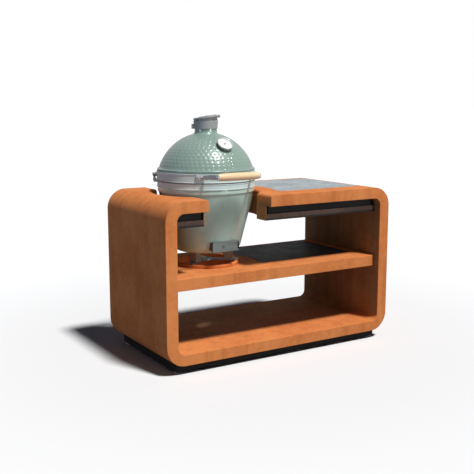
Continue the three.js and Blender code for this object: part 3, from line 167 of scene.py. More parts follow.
def smooth_through(points: Sequence[Sequence[float]], per_span: int = 6) -> np.ndarray:
    """A Catmull-Rom curve: each span is a cubic whose end slopes are half the chord of its neighbours."""
    p = np.asarray(points, float)
    padded = np.vstack((2 * p[0] - p[1], p, 2 * p[-1] - p[-2]))
    t = np.linspace(0, 1, per_span, endpoint=False)[None, :, None]
    a, b, c, d = (padded[k : k + len(p) - 1, None] for k in range(4))
    curve = 0.5 * (2 * b + (c - a) * t + (2 * a - 5 * b + 4 * c - d) * t**2 + (3 * b - a - 3 * c + d) * t**3)
    return np.vstack((curve.reshape(-1, p.shape[1]), p[-1]))


# Meshes


def linked(name: str, data: bpy.types.ID) -> Obj:
    """A new object for a mesh, a lamp or a camera, in the scene."""
    obj = bpy.data.objects.new(name, data)
    bpy.context.scene.collection.objects.link(obj)
    return obj


def mesh_object(
    name: str,
    points: np.ndarray,
    faces: Iterable[Sequence[int]],
    sharp: float = 35.0,
    uv: Optional[np.ndarray] = None,
) -> Obj:
    """Puts points in millimetres and faces into a new object, merges doubles and shades it smooth.

    Args:
        name: name of the object.
        points: array of corners, in millimetres.
        faces: corner numbers of each face.
        sharp: faces that meet at a greater angle in degrees keep a sharp edge.
        uv: two numbers per corner of each face, written to a UV map named dimples.

    Returns:
        The object, standing at the origin.
    """
    mesh = bpy.data.meshes.new(name)
    mesh.from_pydata(np.asarray(points, float) * MM, [], [tuple(map(int, f)) for f in faces])
    if uv is not None:
        mesh.uv_layers.new(name="dimples").data.foreach_set("uv", uv.astype(np.float32).ravel())
    build = bmesh.new()
    build.from_mesh(mesh)
    bmesh.ops.remove_doubles(build, verts=build.verts, dist=2e-6)
    bmesh.ops.dissolve_degenerate(build, edges=build.edges, dist=1e-7)
    bmesh.ops.recalc_face_normals(build, faces=build.faces)
    build.to_mesh(mesh)
    build.free()
    obj = linked(name, mesh)
    shade(obj, sharp)
    return obj


def shade(obj: Obj, sharp: float) -> None:
    """Shades a mesh smooth but for edges sharper than an angle in degrees, and keeps flat areas flat."""
    obj.data.shade_smooth()
    obj.data.set_sharp_from_angle(angle=math.radians(sharp))
    weigh = obj.modifiers.new("even_shading", "WEIGHTED_NORMAL")
    weigh.keep_sharp = True


def grid_faces(rows: int, cols: int, closed: bool) -> np.ndarray:
    """Quads between looped rows of points numbered row by row. If closed, the last row joins the first."""
    r = np.arange(rows if closed else rows - 1)[:, None]
    c = np.arange(cols)[None, :]
    r2, c2 = (r + 1) % rows, (c + 1) % cols
    corners = (r * cols + c, r * cols + c2, r2 * cols + c2, r2 * cols + c)
    return np.stack(np.broadcast_arrays(*corners), axis=-1).reshape(-1, 4)


def lathe(
    name: str,
    profile: np.ndarray,
    sides: int = 96,
    closed: bool = False,
    sharp: float = 35.0,
    uv: Optional[np.ndarray] = None,
) -> Obj:
    """A profile of radius and height turned about the vertical axis.

    The point at angle a is (radius cos a, radius sin a, height).

    Args:
        name: name of the object.
        profile: rows of radius and height; it starts and ends on the axis, or is closed.
        sides: number of columns round the axis.
        closed: whether the profile's last point joins its first.
        sharp: angle of sharp edges in degrees.
        uv: two numbers per corner of each face.

    Returns:
        The object, about the vertical axis through the origin.
    """
    angle = spokes(sides)
    profile = np.asarray(profile, float)
    r, z = profile[:, 0:1], profile[:, 1:2]
    points = np.stack((r * np.cos(angle), r * np.sin(angle), z + 0 * angle), axis=-1)
    faces = grid_faces(len(profile), sides, closed)
    return mesh_object(name, points.reshape(-1, 3), faces, sharp, uv)


def swept(name: str, rings: np.ndarray, sharp: float = 35.0) -> Obj:
    """A closed solid through rings of equally many points, its first and last ring filled."""
    rows, count = rings.shape[:2]
    faces = grid_faces(rows, count, False).tolist()
    faces += [list(range(count))[::-1], [(rows - 1) * count + i for i in range(count)]]
    return mesh_object(name, rings.reshape(-1, 3), faces, sharp)


def plate(name: str, outline: np.ndarray, z0: float, z1: float, edge: float = 0.0) -> Obj:
    """A plate between two heights, over an anticlockwise outline, with its level edges rounded by edge.

    At angle a of a rounded edge the outline moves in along its normals by edge - edge sin a, and the height
    by edge - edge cos a.
    """
    turn = np.linspace(0, QUARTER, 4) if edge else [QUARTER]
    low = [(edge * (1 - math.sin(a)), z0 + edge * (1 - math.cos(a))) for a in turn]
    levels = low + [(inset, z0 + z1 - z) for inset, z in reversed(low)]
    inward = inward_normals(outline)
    return swept(name, np.stack([raised(outline + inward * inset, z) for inset, z in levels]))


def inward_normals(outline: np.ndarray) -> np.ndarray:
    """Unit vectors to the inside of an anticlockwise outline, a quarter turn left of its direction."""
    along = np.roll(outline, -1, axis=0) - np.roll(outline, 1, axis=0)
    along /= np.maximum(np.linalg.norm(along, axis=1, keepdims=True), 1e-9)
    return np.column_stack((-along[:, 1], along[:, 0]))


def tube(name: str, path: np.ndarray, radius: float, sides: int = 12) -> Obj:
    """A round wire: a circle carried along a path, turned as little as possible from one point to the next.

    Args:
        name: name of the object.
        path: points of the centre line.
        radius: radius of the wire.
        sides: corners round the wire.

    Returns:
        The closed wire.
    """
    along = np.gradient(path, axis=0)
    along /= np.linalg.norm(along, axis=1, keepdims=True)
    across = np.empty_like(path)
    start = np.array([1.0, 0, 0]) if abs(along[0, 0]) < 0.9 else np.array([0, 1.0, 0])
    for i, way in enumerate(along):
        start = start - way * start.dot(way)
        start /= np.linalg.norm(start)
        across[i] = start
    up = np.cross(along, across)
    angle = spokes(sides)[:, None]
    ring = across[:, None] * np.cos(angle) + up[:, None] * np.sin(angle)
    return swept(name, path[:, None] + radius * ring, 60)


def points_of(obj: Obj) -> np.ndarray:
    """The corners of a mesh, in millimetres."""
    flat = np.empty(len(obj.data.vertices) * 3, np.float32)
    obj.data.vertices.foreach_get("co", flat)
    return flat.reshape(-1, 3).astype(float) / MM


def put_points(obj: Obj, points: np.ndarray) -> Obj:
    """Gives a mesh new corners, in millimetres."""
    obj.data.vertices.foreach_set("co", (points * MM).astype(np.float32).ravel())
    obj.data.update()
    return obj


def moved(obj: Obj, shift: Sequence[float] = (0, 0, 0), turn: Optional[np.ndarray] = None) -> Obj:
    """Turns a mesh by a matrix, then shifts it in millimetres. Its object stays at the origin."""
    points = points_of(obj)
    if turn is not None:
        points = points @ turn.T
    return put_points(obj, points + np.asarray(shift, float))


def turned(axis: str, angle: float) -> np.ndarray:
    """The matrix that turns points about the x, y or z axis by an angle in radians."""
    matrix = np.eye(3)
    first = "xyz".index(axis) + 1
    rows = np.array([first % 3, (first + 1) % 3])
    c, s = math.cos(angle), math.sin(angle)
    matrix[np.ix_(rows, rows)] = [[c, -s], [s, c]]
    return matrix


def joined(name: str, parts: Sequence[Obj]) -> Obj:
    """Puts several objects' meshes into the first one and removes the others."""
    build = bmesh.new()
    for part in parts:
        build.from_mesh(part.data)
    first = parts[0]
    first.modifiers.clear()
    build.to_mesh(first.data)
    build.free()
    for part in parts[1:]:
        bpy.data.objects.remove(part)
    first.name = name
    shade(first, 35)
    return first


def carve(obj: Obj, cutters: Sequence[Obj], solver: str = "EXACT") -> Obj:
    """Takes the cutters' volumes away from a closed mesh and removes the cutters."""
    obj.modifiers.clear()
    for cutter in cutters:
        cutter.modifiers.clear()
        step = obj.modifiers.new("carve", "BOOLEAN")
        step.operation = "DIFFERENCE"
        step.solver = solver
        step.object = cutter
    result = bpy.data.meshes.new_from_object(obj.evaluated_get(bpy.context.evaluated_depsgraph_get()))
    obj.modifiers.clear()
    obj.data = result
    for cutter in cutters:
        bpy.data.objects.remove(cutter)
    shade(obj, 30)
    return obj


def mark_painted_shading(obj: Obj, share: Union[float, Callable[[np.ndarray], np.ndarray]]) -> Obj:
    """Writes the painted_shading attribute of a mesh, the share of painted shade (painted light where a
    finish's factor is above 1): one value, or a function of its points in millimetres.
    """
    points = points_of(obj)
    values = share(points) if callable(share) else np.full(len(points), share)
    attribute = obj.data.attributes.new("painted_shading", "FLOAT", "POINT")
    attribute.data.foreach_set("value", values.astype(np.float32))
    return obj


def block(name: str, low: Sequence[float], high: Sequence[float], edge: float) -> Obj:
    """A box between two corners with rounded upright and level edges."""
    outline = soft_box(*low[:2], *high[:2], edge)
    return plate(name, outline, low[2], high[2], min(edge, (high[2] - low[2]) / 2.2))


# Materials


class Graph:
    """A short way to place and join shader nodes."""

    def __init__(self, tree: Tree) -> None:
        """Keeps the tree and starts the layout at the left."""
        self.tree = tree
        self.column = 0

    def add(self, kind: str, settings: Optional[dict] = None, **sockets: object) -> Node:
        """Adds a node, sets its properties and fills its inputs.

        Args:
            kind: the node's class name without its leading ShaderNode.
            settings: properties of the node.
            sockets: inputs by name with underscores for spaces, or in0, in1 and so on. A socket is linked.

        Returns:
            The node.
        """
        node = self.tree.nodes.new("ShaderNode" + kind)
        node.location = (self.column * 170, -(self.column % 3) * 140)
        self.column += 1
        for key, value in (settings or {}).items():
            setattr(node, key, value)
        for key, value in sockets.items():
            numbered = key[:2] == "in" and key[2:].isdigit()
            place = node.inputs[int(key[2:]) if numbered else key.replace("_", " ")]
            if isinstance(value, Socket):
                self.tree.links.new(value, place)
            else:
                place.default_value = value
        return node

    def show(self, shader: Node, kind: str = "OutputMaterial") -> None:
        """Joins a shader to a new output node."""
        self.add(kind, Surface=shader.outputs[0])

    def math(self, operation: str, *values: object, clamp: bool = False) -> Socket:
        """A Math node's result for one to three values."""
        inputs = {f"in{i}": value for i, value in enumerate(values)}
        return self.add("Math", {"operation": operation, "use_clamp": clamp}, **inputs).outputs[0]

    def mix(self, share: object, first: object, second: object) -> Socket:
        """A colour between two colours."""
        return self.add("Mix", {"data_type": "RGBA"}, in0=share, in6=first, in7=second).outputs[2]

    def span(
        self, value: object, low: float, high: float, out_low: float = 0.0, out_high: float = 1.0
    ) -> Socket:
        """A value carried from one range to another, smoothly and without passing its ends."""
        settings = {"interpolation_type": "SMOOTHSTEP"}
        node = self.add("MapRange", settings, in0=value, in1=low, in2=high, in3=out_low, in4=out_high)
        return node.outputs[0]

    def stretch(self, where: Socket, scale: Triple) -> Socket:
        """A place whose three coordinates are each multiplied by a number."""
        return self.add("Mapping", {"vector_type": "POINT"}, Vector=where, Scale=scale).outputs[0]

    def noise(self, where: Socket, scale: object, detail: float = 4.0, rough: float = 0.5) -> Socket:
        """A noise texture's value at a place."""
        return self.add("TexNoise", Vector=where, Scale=scale, Detail=detail, Roughness=rough).outputs[0]


def emptied(owner: Union[bpy.types.Material, bpy.types.World]) -> Graph:
    """A graph on the node tree of a material or a world, emptied first."""
    owner.use_nodes = True
    owner.node_tree.nodes.clear()
    return Graph(owner.node_tree)


def group_of(
    name: str, inputs: Sequence[tuple[str, str, object]], outputs: Sequence[tuple[str, str]]
) -> tuple[Graph, Node, Node]:
    """Starts a shader node group with named inputs and outputs.

    Args:
        name: name of the group.
        inputs: name, kind and default of each input.
        outputs: name and kind of each output.

    Returns:
        A graph on the group's tree, its input node and its output node.
    """
    tree = bpy.data.node_groups.new(name, "ShaderNodeTree")
    for label, kind, default in inputs:
        item = tree.interface.new_socket(name=label, in_out="INPUT", socket_type="NodeSocket" + kind)
        if default is not None:
            item.default_value = default
    for label, kind in outputs:
        tree.interface.new_socket(name=label, in_out="OUTPUT", socket_type="NodeSocket" + kind)
    return Graph(tree), tree.nodes.new("NodeGroupInput"), tree.nodes.new("NodeGroupOutput")


def mottle_group() -> Tree:
    """Patches of a second colour: two noises of different size, added and passed through a smooth step."""
    inputs = (
        ("Vector", "Vector", None),
        ("Color", "Color", (0.5, 0.5, 0.5, 1)),
        ("Patch Color", "Color", (0.2, 0.2, 0.2, 1)),
        ("Scale", "Float", 8.0),
        ("Amount", "Float", 0.5),
    )
    graph, given, out = group_of("mottle", inputs, (("Color", "Color"), ("Mask", "Float")))
    where, scale = given.outputs["Vector"], given.outputs["Scale"]
    wide = graph.noise(where, scale, 3.0, 0.6)
    small = graph.noise(where, graph.math("MULTIPLY", scale, 7.3), 5.0, 0.65)
    both = graph.math("ADD", graph.math("MULTIPLY", wide, 0.6), graph.math("MULTIPLY", small, 0.4))
    mask = graph.span(both, 0.38, 0.64)
    share = graph.math("MULTIPLY", mask, given.outputs["Amount"])
    color = graph.mix(share, given.outputs["Color"], given.outputs["Patch Color"])
    graph.tree.links.new(color, out.inputs["Color"])
    graph.tree.links.new(mask, out.inputs["Mask"])
    return graph.tree


def grain_group() -> Tree:
    """Fine relief: a coarse and a fine noise added, as a height between 0 and 1."""
    inputs = (("Vector", "Vector", None), ("Scale", "Float", 300.0), ("Coarse", "Float", 0.5))
    graph, given, out = group_of("grain", inputs, (("Height", "Float"),))
    where = given.outputs["Vector"]
    fine = graph.noise(where, given.outputs["Scale"])
    wide = graph.noise(where, graph.math("MULTIPLY", given.outputs["Scale"], 0.21), 3.0)
    node = graph.add("Mix", {"data_type": "FLOAT"}, in0=given.outputs["Coarse"], in2=fine, in3=wide)
    graph.tree.links.new(node.outputs[0], out.inputs["Height"])
    return graph.tree


MOTTLE = mottle_group()
GRAIN = grain_group()


def linear(red: float, green: float, blue: float) -> tuple[float, float, float, float]:
    """A display colour of 0 to 255 per channel as the linear colour that shaders use."""
    shares = (value / 255 for value in (red, green, blue))
    return tuple(v / 12.92 if v <= 0.04045 else ((v + 0.055) / 1.055) ** 2.4 for v in shares) + (1.0,)


@dataclass(frozen=True)
class Finish:
    """A plain finish with uneven colour, uneven gloss and fine relief.

    The colours are display values. Patches and grain are counted per metre, and relief is in millimetres.
    Under a coat the surface follows the share under_coat of the relief. Where the piece's own painted_shading
    attribute is 1 the colour is multiplied by painted_shading_tint: painted shade where its factors are below
    1, painted light where they are above 1.
    """

    name: str
    color: Triple
    patch: Triple
    patches: float = 8.0
    amount: float = 0.5
    roughness: float = 0.6
    unevenness: float = 0.12
    metallic: float = 0.0
    coat: float = 0.0
    grain: float = 300.0
    coarse: float = 0.5
    relief: float = 0.3
    specular: float = 0.5
    coat_roughness: float = 0.06
    under_coat: float = 1.0
    painted_shading_tint: Optional[Triple] = None

    def place(self, graph: Graph) -> Socket:
        """The coordinates that the finish follows: the object's own, in metres."""
        return graph.add("TexCoord").outputs["Object"]

    def tint(self, graph: Graph, where: Socket) -> tuple[Socket, Socket]:
        """The colour over the surface, and the mask of its patches."""
        node = graph.add(
            "Group",
            {"node_tree": MOTTLE},
            Vector=where,
            Color=linear(*self.color),
            Patch_Color=linear(*self.patch),
            Scale=self.patches,
            Amount=self.amount,
        )
        return node.outputs["Color"], node.outputs["Mask"]

    def height(self, graph: Graph, where: Socket) -> Socket:
        """The relief over the surface, in metres."""
        node = graph.add("Group", {"node_tree": GRAIN}, Vector=where, Scale=self.grain, Coarse=self.coarse)
        return graph.math("MULTIPLY", node.outputs["Height"], self.relief * MM)

    def gloss(self, graph: Graph, mask: Socket) -> Socket:
        """Roughness, higher where the patches are."""
        return graph.math("MULTIPLY_ADD", mask, self.unevenness, self.roughness, clamp=True)

    def build(self) -> bpy.types.Material:
        """Makes the material.

        Returns:
            The material, with its shader joined up.
        """
        material = bpy.data.materials.new(self.name)
        graph = emptied(material)
        where = self.place(graph)
        color, mask = self.tint(graph, where)
        # Painted shade and painted light: where the painted_shading attribute is 1, the colour is scaled by
        # painted_shading_tint.
        if self.painted_shading_tint:
            share = graph.add("Attribute", {"attribute_name": "painted_shading"}).outputs["Fac"]
            kept = graph.add("VectorMath", {"operation": "MULTIPLY"}, in0=color, in1=self.painted_shading_tint)
            color = graph.mix(share, color, kept.outputs[0])
        height = self.height(graph, where)
        surface = graph.add(
            "BsdfPrincipled",
            Base_Color=color,
            Roughness=self.gloss(graph, mask),
            Metallic=self.metallic,
            Coat_Weight=self.coat,
            Coat_Roughness=self.coat_roughness,
            Specular_IOR_Level=self.specular,
        )
        for socket, strength in (("Normal", self.under_coat), ("Coat Normal", 1.0)):
            bump = graph.add("Bump", Strength=strength, Distance=1.0, Height=height)
            graph.tree.links.new(bump.outputs[0], surface.inputs[socket])
        graph.show(surface)
        return material


@dataclass(frozen=True)
class WeatheringSteel(Finish):
    """Rusted steel: patches, faint runs down the walls and a dense fine speckle."""

    run: Triple = (150, 74, 34)
    speckle: float = 420.0

    def tint(self, graph: Graph, where: Socket) -> tuple[Socket, Socket]:
        """Patches first, then runs stretched along the height, then specks of darker rust."""
        color, mask = Finish.tint(self, graph, where)
        runs = graph.noise(graph.stretch(where, (13.0, 13.0, 1.1)), 1.0, 4.0, 0.6)
        color = graph.mix(graph.span(runs, 0.45, 0.7, 0.0, 0.26), color, linear(*self.run))
        specks = graph.noise(where, self.speckle, 2.0, 0.7)
        return graph.mix(graph.span(specks, 0.42, 0.7, 0.0, 0.3), color, linear(*self.run)), mask


@dataclass(frozen=True)
class PolishedStone(Finish):
    """Polished stone with cloudy veins of another grey, where a distorted noise is cut to thin bands."""

    vein: Triple = (122, 130, 134)

    def tint(self, graph: Graph, where: Socket) -> tuple[Socket, Socket]:
        """Patches first, then veins where the noise is close to one half."""
        color, mask = Finish.tint(self, graph, where)
        cloud = graph.noise(where, 11.0, 6.0, 0.62)
        cloud.node.inputs["Distortion"].default_value = 1.4
        away = graph.math("ABSOLUTE", graph.math("SUBTRACT", cloud, 0.5))
        veins = graph.span(away, 0.0, 0.045, 0.55, 0.0)
        return graph.mix(veins, color, linear(*self.vein)), mask


@dataclass(frozen=True)
class DimpledGlaze(Finish):
    """Thick glaze over rows of round dimples. The piece's UV map counts them: u along a row, v up the rows.

    A cell of the map is as wide and as high as cell says. A hollow has a radius and a depth, in millimetres.
    """

    cell: Pair = (27.0, 21.0)
    hollow: float = 10.4
    depth: float = 1.6

    def height(self, graph: Graph, where: Socket) -> Socket:
        """A round hollow in each unit square of the UV map, over the mesh's own, and an orange peel."""
        count = graph.add("UVMap", {"uv_map": "dimples"}).outputs[0]
        within = graph.add("VectorMath", {"operation": "FRACTION"}, in0=count).outputs[0]
        squares = []
        for part, size in zip(graph.add("SeparateXYZ", Vector=within).outputs, self.cell):
            across = graph.math("MULTIPLY", graph.math("SUBTRACT", part, 0.5), size)
            squares.append(graph.math("MULTIPLY", across, across))
        away = graph.math("SQRT", graph.math("ADD", *squares))
        hollow = graph.span(away, 0.0, self.hollow, -self.depth * MM, 0.0)
        return graph.math("ADD", hollow, Finish.height(self, graph, where))


@dataclass(frozen=True)
class PaleWood(Finish):
    """Lacquered wood, with patches and grain drawn out along the first axis."""

    def place(self, graph: Graph) -> Socket:
        """Coordinates squeezed along the grain."""
        return graph.stretch(Finish.place(self, graph), (0.06, 1.0, 1.0))


@dataclass(frozen=True)
class ClearGlass:
    """Clear flat glass."""

    name: str

    def build(self) -> bpy.types.Material:
        """Makes the material, with a faint unevenness in its surface."""
        material = bpy.data.materials.new(self.name)
        graph = emptied(material)
        where = graph.add("TexCoord").outputs["Object"]
        height = graph.math("MULTIPLY", graph.noise(where, 40.0, 1.0, 0.55), 0.02 * MM)
        bump = graph.add("Bump", Strength=0.4, Distance=1.0, Height=height).outputs[0]
        share = graph.add("Fresnel", IOR=1.45, Normal=bump).outputs[0]
        outside = graph.math("SUBTRACT", 1.0, graph.add("NewGeometry").outputs["Backfacing"])
        share = graph.math("MULTIPLY", share, outside)
        clear = graph.add("BsdfTransparent", Color=(0.97, 0.98, 0.98, 1)).outputs[0]
        gloss = graph.add("BsdfGlossy", Color=(1, 1, 1, 1), Roughness=0.03, Normal=bump).outputs[0]
        graph.show(graph.add("MixShader", in0=share, in1=clear, in2=gloss))
        return material


class Finishes:
    """The finishes of the table and the grill, built once, each under the record's name for its slot."""

    def __init__(self) -> None:
        """Builds every material."""
        plain = (
            # rust: its tint gives the loop's inside, the apron skin and the grill place's lower edge a darker,
            # less red copy of the colour as painted shade.
            WeatheringSteel(
                "rust", (231, 143, 78), (201, 107, 49), 5.0, 0.55, 0.78, 0.1,
                grain=520.0, relief=0.5, specular=0.4, painted_shading_tint=(0.5, 0.86, 1.32),
            ),
            # brown_steel: the apron band, rust coloured dark brown as painted shade under the worktop's
            # overhang; its tint adds painted shade along its lower edge.
            Finish(
                "brown_steel", (108, 80, 62), (78, 58, 46), 7.0, 0.7, 0.5, 0.1,
                metallic=0.2, painted_shading_tint=(0.2, 0.2, 0.2),
            ),
            # black_steel: near black as painted shade for the plinth, the shelf rails and the apron webs, which
            # stand in the table's shadow.
            Finish("black_steel", (24, 20, 17), (34, 28, 24), 9.0, 0.5, 0.5, 0.12, specular=0.2),
            # stone: its tint makes the shelf inlay a dark copy of the worktop's stone, painted shade under the
            # worktop.
            PolishedStone(
                "stone", (184, 192, 194), (156, 164, 168), 9.0, 0.8, 0.55, 0.1,
                grain=90.0, relief=0.02, specular=0.08, painted_shading_tint=(0.16, 0.17, 0.165),
            ),
            Finish(
                "zinc", (136, 138, 136), (104, 106, 105), 40.0, 0.6, 0.42, 0.15, metallic=0.9, relief=0.06
            ),
            # firebrick: its tint darkens the blocks under the bowl as painted shade.
            Finish(
                "firebrick", (206, 190, 164), (178, 160, 134), 30.0, 0.6, 0.85, 0.1,
                grain=400.0, relief=0.8, painted_shading_tint=(0.42, 0.42, 0.42),
            ),
            # glaze: its tint lightens the bowl as painted light, against the shade that the worktop casts on
            # it.
            DimpledGlaze(
                "glaze", (137, 160, 149), (124, 149, 136), 14.0, 0.6, 0.3, 0.05,
                coat=0.55, grain=120.0, relief=0.08, under_coat=0.0, painted_shading_tint=(2.1, 1.88, 1.92),
            ),
            Finish(
                "felt", (150, 152, 152), (134, 136, 136), 200.0, 0.7, 0.95, 0.04, grain=900.0, relief=0.7
            ),
            Finish("band_steel", (206, 223, 219), (194, 211, 207), 20.0, 0.5, 0.5, 0.1, relief=0.1),
            # steel: its tint darkens the air inlet and the hinge's springs and side arms as painted shade.
            Finish(
                "steel", (200, 201, 200), (184, 185, 184), 60.0, 0.5, 0.36, 0.12,
                metallic=0.7, relief=0.03, painted_shading_tint=(0.3, 0.33, 0.31),
            ),
            Finish(
                "cast_iron", (172, 172, 172), (150, 150, 150), 45.0, 0.6, 0.6, 0.12,
                metallic=0.05, grain=650.0, relief=0.5,
            ),
            PaleWood(
                "wood", (254, 224, 184), (238, 192, 144), 60.0, 0.75, 0.4, 0.1,
                coat=0.15, grain=500.0, relief=0.12,
            ),
            Finish("dial", (255, 255, 252), (250, 250, 246), 30.0, 0.4, 0.35, 0.05, relief=0.01),
            Finish("needle", (64, 64, 64), (52, 52, 52), 30.0, 0.4, 0.4, 0.05, relief=0.01),
        )
        self.by_slot = {finish.name: finish.build() for finish in plain}
        self.by_slot["glass"] = ClearGlass("glass").build()

    def dress(self, obj: Obj, slot: str) -> None:
        """Gives an object one finish, named after its slot in the record."""
        obj.data.materials.clear()
        obj.data.materials.append(self.by_slot[slot])


def ready(obj: Obj, body: Body, slot: str, finishes: Finishes, *nodes: str) -> Obj:
    """Dresses a piece, lets it ride on a body and hides the CAD nodes that it stands for.

    Args:
        obj: the piece.
        body: the body that it moves with.
        slot: its slot in the record.
        finishes: the finishes.
        nodes: CAD nodes that it replaces.

    Returns:
        The piece.
    """
    finishes.dress(obj, slot)
    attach(obj, body.value)
    if nodes:
        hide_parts(*nodes)
    LOG.info("%s: %d faces, on %s", obj.name, len(obj.data.polygons), body.value)
    return obj


# The table


@dataclass
class GrillPlace:
    """The round cut-out in the top, open to the front and to the rear. Sizes in millimetres."""

    x: float = AXIS_X
    radius: float = 300.0
    half_gap: float = 195.0
    corner: float = 40.0

    @property
    def corner_centre(self) -> Pair:
        """Centre of the convex corner on the right, in front or behind by the second number."""
        cx = self.half_gap + self.corner
        return cx, math.sqrt((self.radius + self.corner) ** 2 - cx**2)

    def half_width(self, y: np.ndarray, grow: float = 0.0) -> np.ndarray:
        """Half the cut-out's width at each depth: circle, then convex corner, then straight gap.

        Args:
            y: depths.
            grow: how far the edge is moved away from the grill.

        Returns:
            The half widths.
        """
        cx, cy = self.corner_centre
        meet = math.atan2(cy, cx)
        away = np.abs(np.asarray(y, float))
        circle = np.sqrt(np.maximum((self.radius + grow) ** 2 - away**2, 0))
        round_corner = cx - np.sqrt(np.maximum((self.corner - grow) ** 2 - (away - cy) ** 2, 0))
        gap = np.full_like(away, self.half_gap + grow)
        beside_gap = np.where(away >= (self.radius + grow) * math.sin(meet), round_corner, circle)
        return np.where(away >= cy, gap, beside_gap)


@dataclass(frozen=True)
class Inlay:
    """A stone slab: the radius of its left end, and its distances from the front, the rear and the right."""

    radius: float
    front: float
    rear: float
    right: float


@dataclass
class SteelTable:
    """The loop of hollow steel panels, its inlays, apron and shelf. Sizes in millimetres."""

    half_x: float = 750.0
    half_y: float = 375.0
    bottom: float = 50.0
    top: float = 926.0
    inner_x: float = 682.0
    inner_bottom: float = 112.0
    inner_top: float = 861.0
    outer_radius: float = 110.0
    inner_radius: float = 42.0
    lip: float = 18.0
    edge: float = 2.5
    behind_edge: tuple[float, ...] = (5.0, 8.0, 11.0, 20.0)
    place: GrillPlace = field(default_factory=GrillPlace)
    joint: float = 3.0
    inlay: float = 12.0
    inlay_corner: float = 40.0
    worktop: Inlay = Inlay(400.0, 145.0, 32.0, 115.0)
    shelf_slab: Inlay = Inlay(297.0, 160.0, 28.0, 57.0)
    shelf_top: float = 510.0
    shelf_thickness: float = 65.0
    shelf_front: float = -332.0
    shelf_rear: float = 343.0
    hole_radius: float = 164.0
    lit_strip: float = 187.0
    fade: Pair = (8.0, 70.0)
    rear_fade: Pair = (5.0, 25.0)
    floor_part: float = 0.8
    cut_share: float = 0.85
    apron_y: float = 325.0
    apron_corner: float = 3.0
    apron_depth: float = 14.0
    web_depth: float = 8.0
    web: Pair = (815.3, 860.7)
    band: Pair = (779.0, 815.0)
    band_fade: Pair = (8.0, 14.0)
    skin: Pair = (-2.0, 4.0)
    ring: Pair = (18.0, 18.0)

    def inner_outline(self, y: float) -> np.ndarray:
        """The inside of the loop at a depth, from the left arm's end round to the right arm's end."""
        reach = float(self.place.half_width(np.array([y]))[0])
        x, r = self.inner_x - self.inner_radius, self.inner_radius
        left, right = self.place.x - reach, self.place.x + reach
        run = np.linspace(0, 0.1, 8)[:, None]
        start = raised(left + run * (-x - left), self.inner_top)
        end = raised(right + run * (x - right), self.inner_top)[::-1]
        return np.vstack((start, loop_corners(x, self.inner_bottom + r, self.inner_top - r, r), end))

    def outer_outline(self, y: float) -> np.ndarray:
        """The outside of the loop at a depth, with the rounded lips at both arms' ends."""
        angle = np.linspace(0, QUARTER, 8)
        grow = self.lip * (1 - np.cos(angle))
        rise = self.top - self.lip * (1 - np.sin(angle))
        reach = np.array([float(self.place.half_width(np.array([y]), g)[0]) for g in grow])
        x, r = self.half_x - self.outer_radius, self.outer_radius
        start = np.column_stack((self.place.x - reach, rise))
        end = np.column_stack((self.place.x + reach, rise))[::-1]
        return np.vstack((start, loop_corners(x, self.bottom + r, self.top - r, r), end))

    def casing(self) -> Obj:
        """The loop: its section at each depth, joined from front to rear, with the worktop's bed carved out.

        A section is the outer outline followed by the inner one backwards. At the front and the rear it
        shrinks by edge - edge sin a while the depth moves by edge - edge cos a, which rounds the edges.
        """
        cx, cy = self.place.corner_centre
        tangent = self.place.radius * math.sin(math.atan2(cy, cx))
        turn = np.linspace(0, QUARTER, 4)
        shrink = self.edge * (1 - np.sin(turn))
        depth = self.half_y - self.edge * (1 - np.cos(turn))
        corner = arc(0, 0, cy - tangent, 0, QUARTER, 7)[:, 1] + tangent
        behind_edge = self.half_y - np.array(self.behind_edge)
        middle = np.concatenate((np.linspace(-tangent, tangent, 41), corner, behind_edge))
        ends = list(zip(depth, shrink))
        stations = [(-d, s) for d, s in ends]
        stations += [(y, 0.0) for y in np.unique(np.concatenate((middle, -middle)))] + ends[::-1]
        rows = []
        for y, inset in stations:
            section = np.vstack((self.outer_outline(y), self.inner_outline(y)[::-1]))
            section = section + inward_normals(section) * inset
            rows.append(raised(section, y)[:, [0, 2, 1]])
        count = len(rows[0])
        faces = grid_faces(len(rows), count, False).tolist()
        pair = np.arange(count // 2 - 1)
        strip = np.column_stack((pair, pair + 1, count - 2 - pair, count - 1 - pair))
        faces += strip.tolist() + (strip[:, ::-1] + (len(rows) - 1) * count).tolist()
        loop = mesh_object("casing_loop", np.vstack(rows), faces, 30)
        return carve(loop, [self.recess(self.worktop_outline(self.joint), self.top)])

    def indoors(self, points: np.ndarray) -> np.ndarray:
        """How much painted shade the loop's inside gets at each point, from 0 to 1.

        The walls and the top get painted shade right behind their front edges, the floor panel behind the strip
        that the light from the front reaches, and the grill place's edge towards its lower side.

        Args:
            points: points on the casing, in millimetres.

        Returns:
            The share of painted shade.
        """
        x, y, z = points.T
        inside = np.minimum(self.inner_x - np.abs(x), np.minimum(self.inner_top - z, z - self.inner_bottom))
        low = 1 - smooth(z, self.inner_bottom, self.inner_bottom + self.floor_part * self.inner_radius)
        start = self.lit_strip * low + self.edge
        near, far = self.fade
        share = smooth(self.half_y + y, start, start + near + (far - near) * low)
        share = share * smooth(self.half_y - y, *self.rear_fade)
        aside = np.abs(x - self.place.x)
        on_cut = (aside - self.place.half_width(y) < 1) & (aside < self.place.radius + 5)
        below_lip = self.top - self.lip - 1
        cut = on_cut * smooth(below_lip - z, 0, below_lip - self.inner_top)
        return np.maximum(smooth(inside, -2.0, -0.5) * share, self.cut_share * cut)

    def recess(self, outline: np.ndarray, top: float) -> Obj:
        """The cutter for an inlay's bed: the outline from below the inlay to above the surface."""
        return plate("recess", outline, top - self.inlay - SEAT, top + 10)

    def slab(self, name: str, outline: np.ndarray, top: float) -> Obj:
        """An inlay's slab, flush with the surface at top."""
        return plate(name, outline, top - self.inlay, top, 1.2)

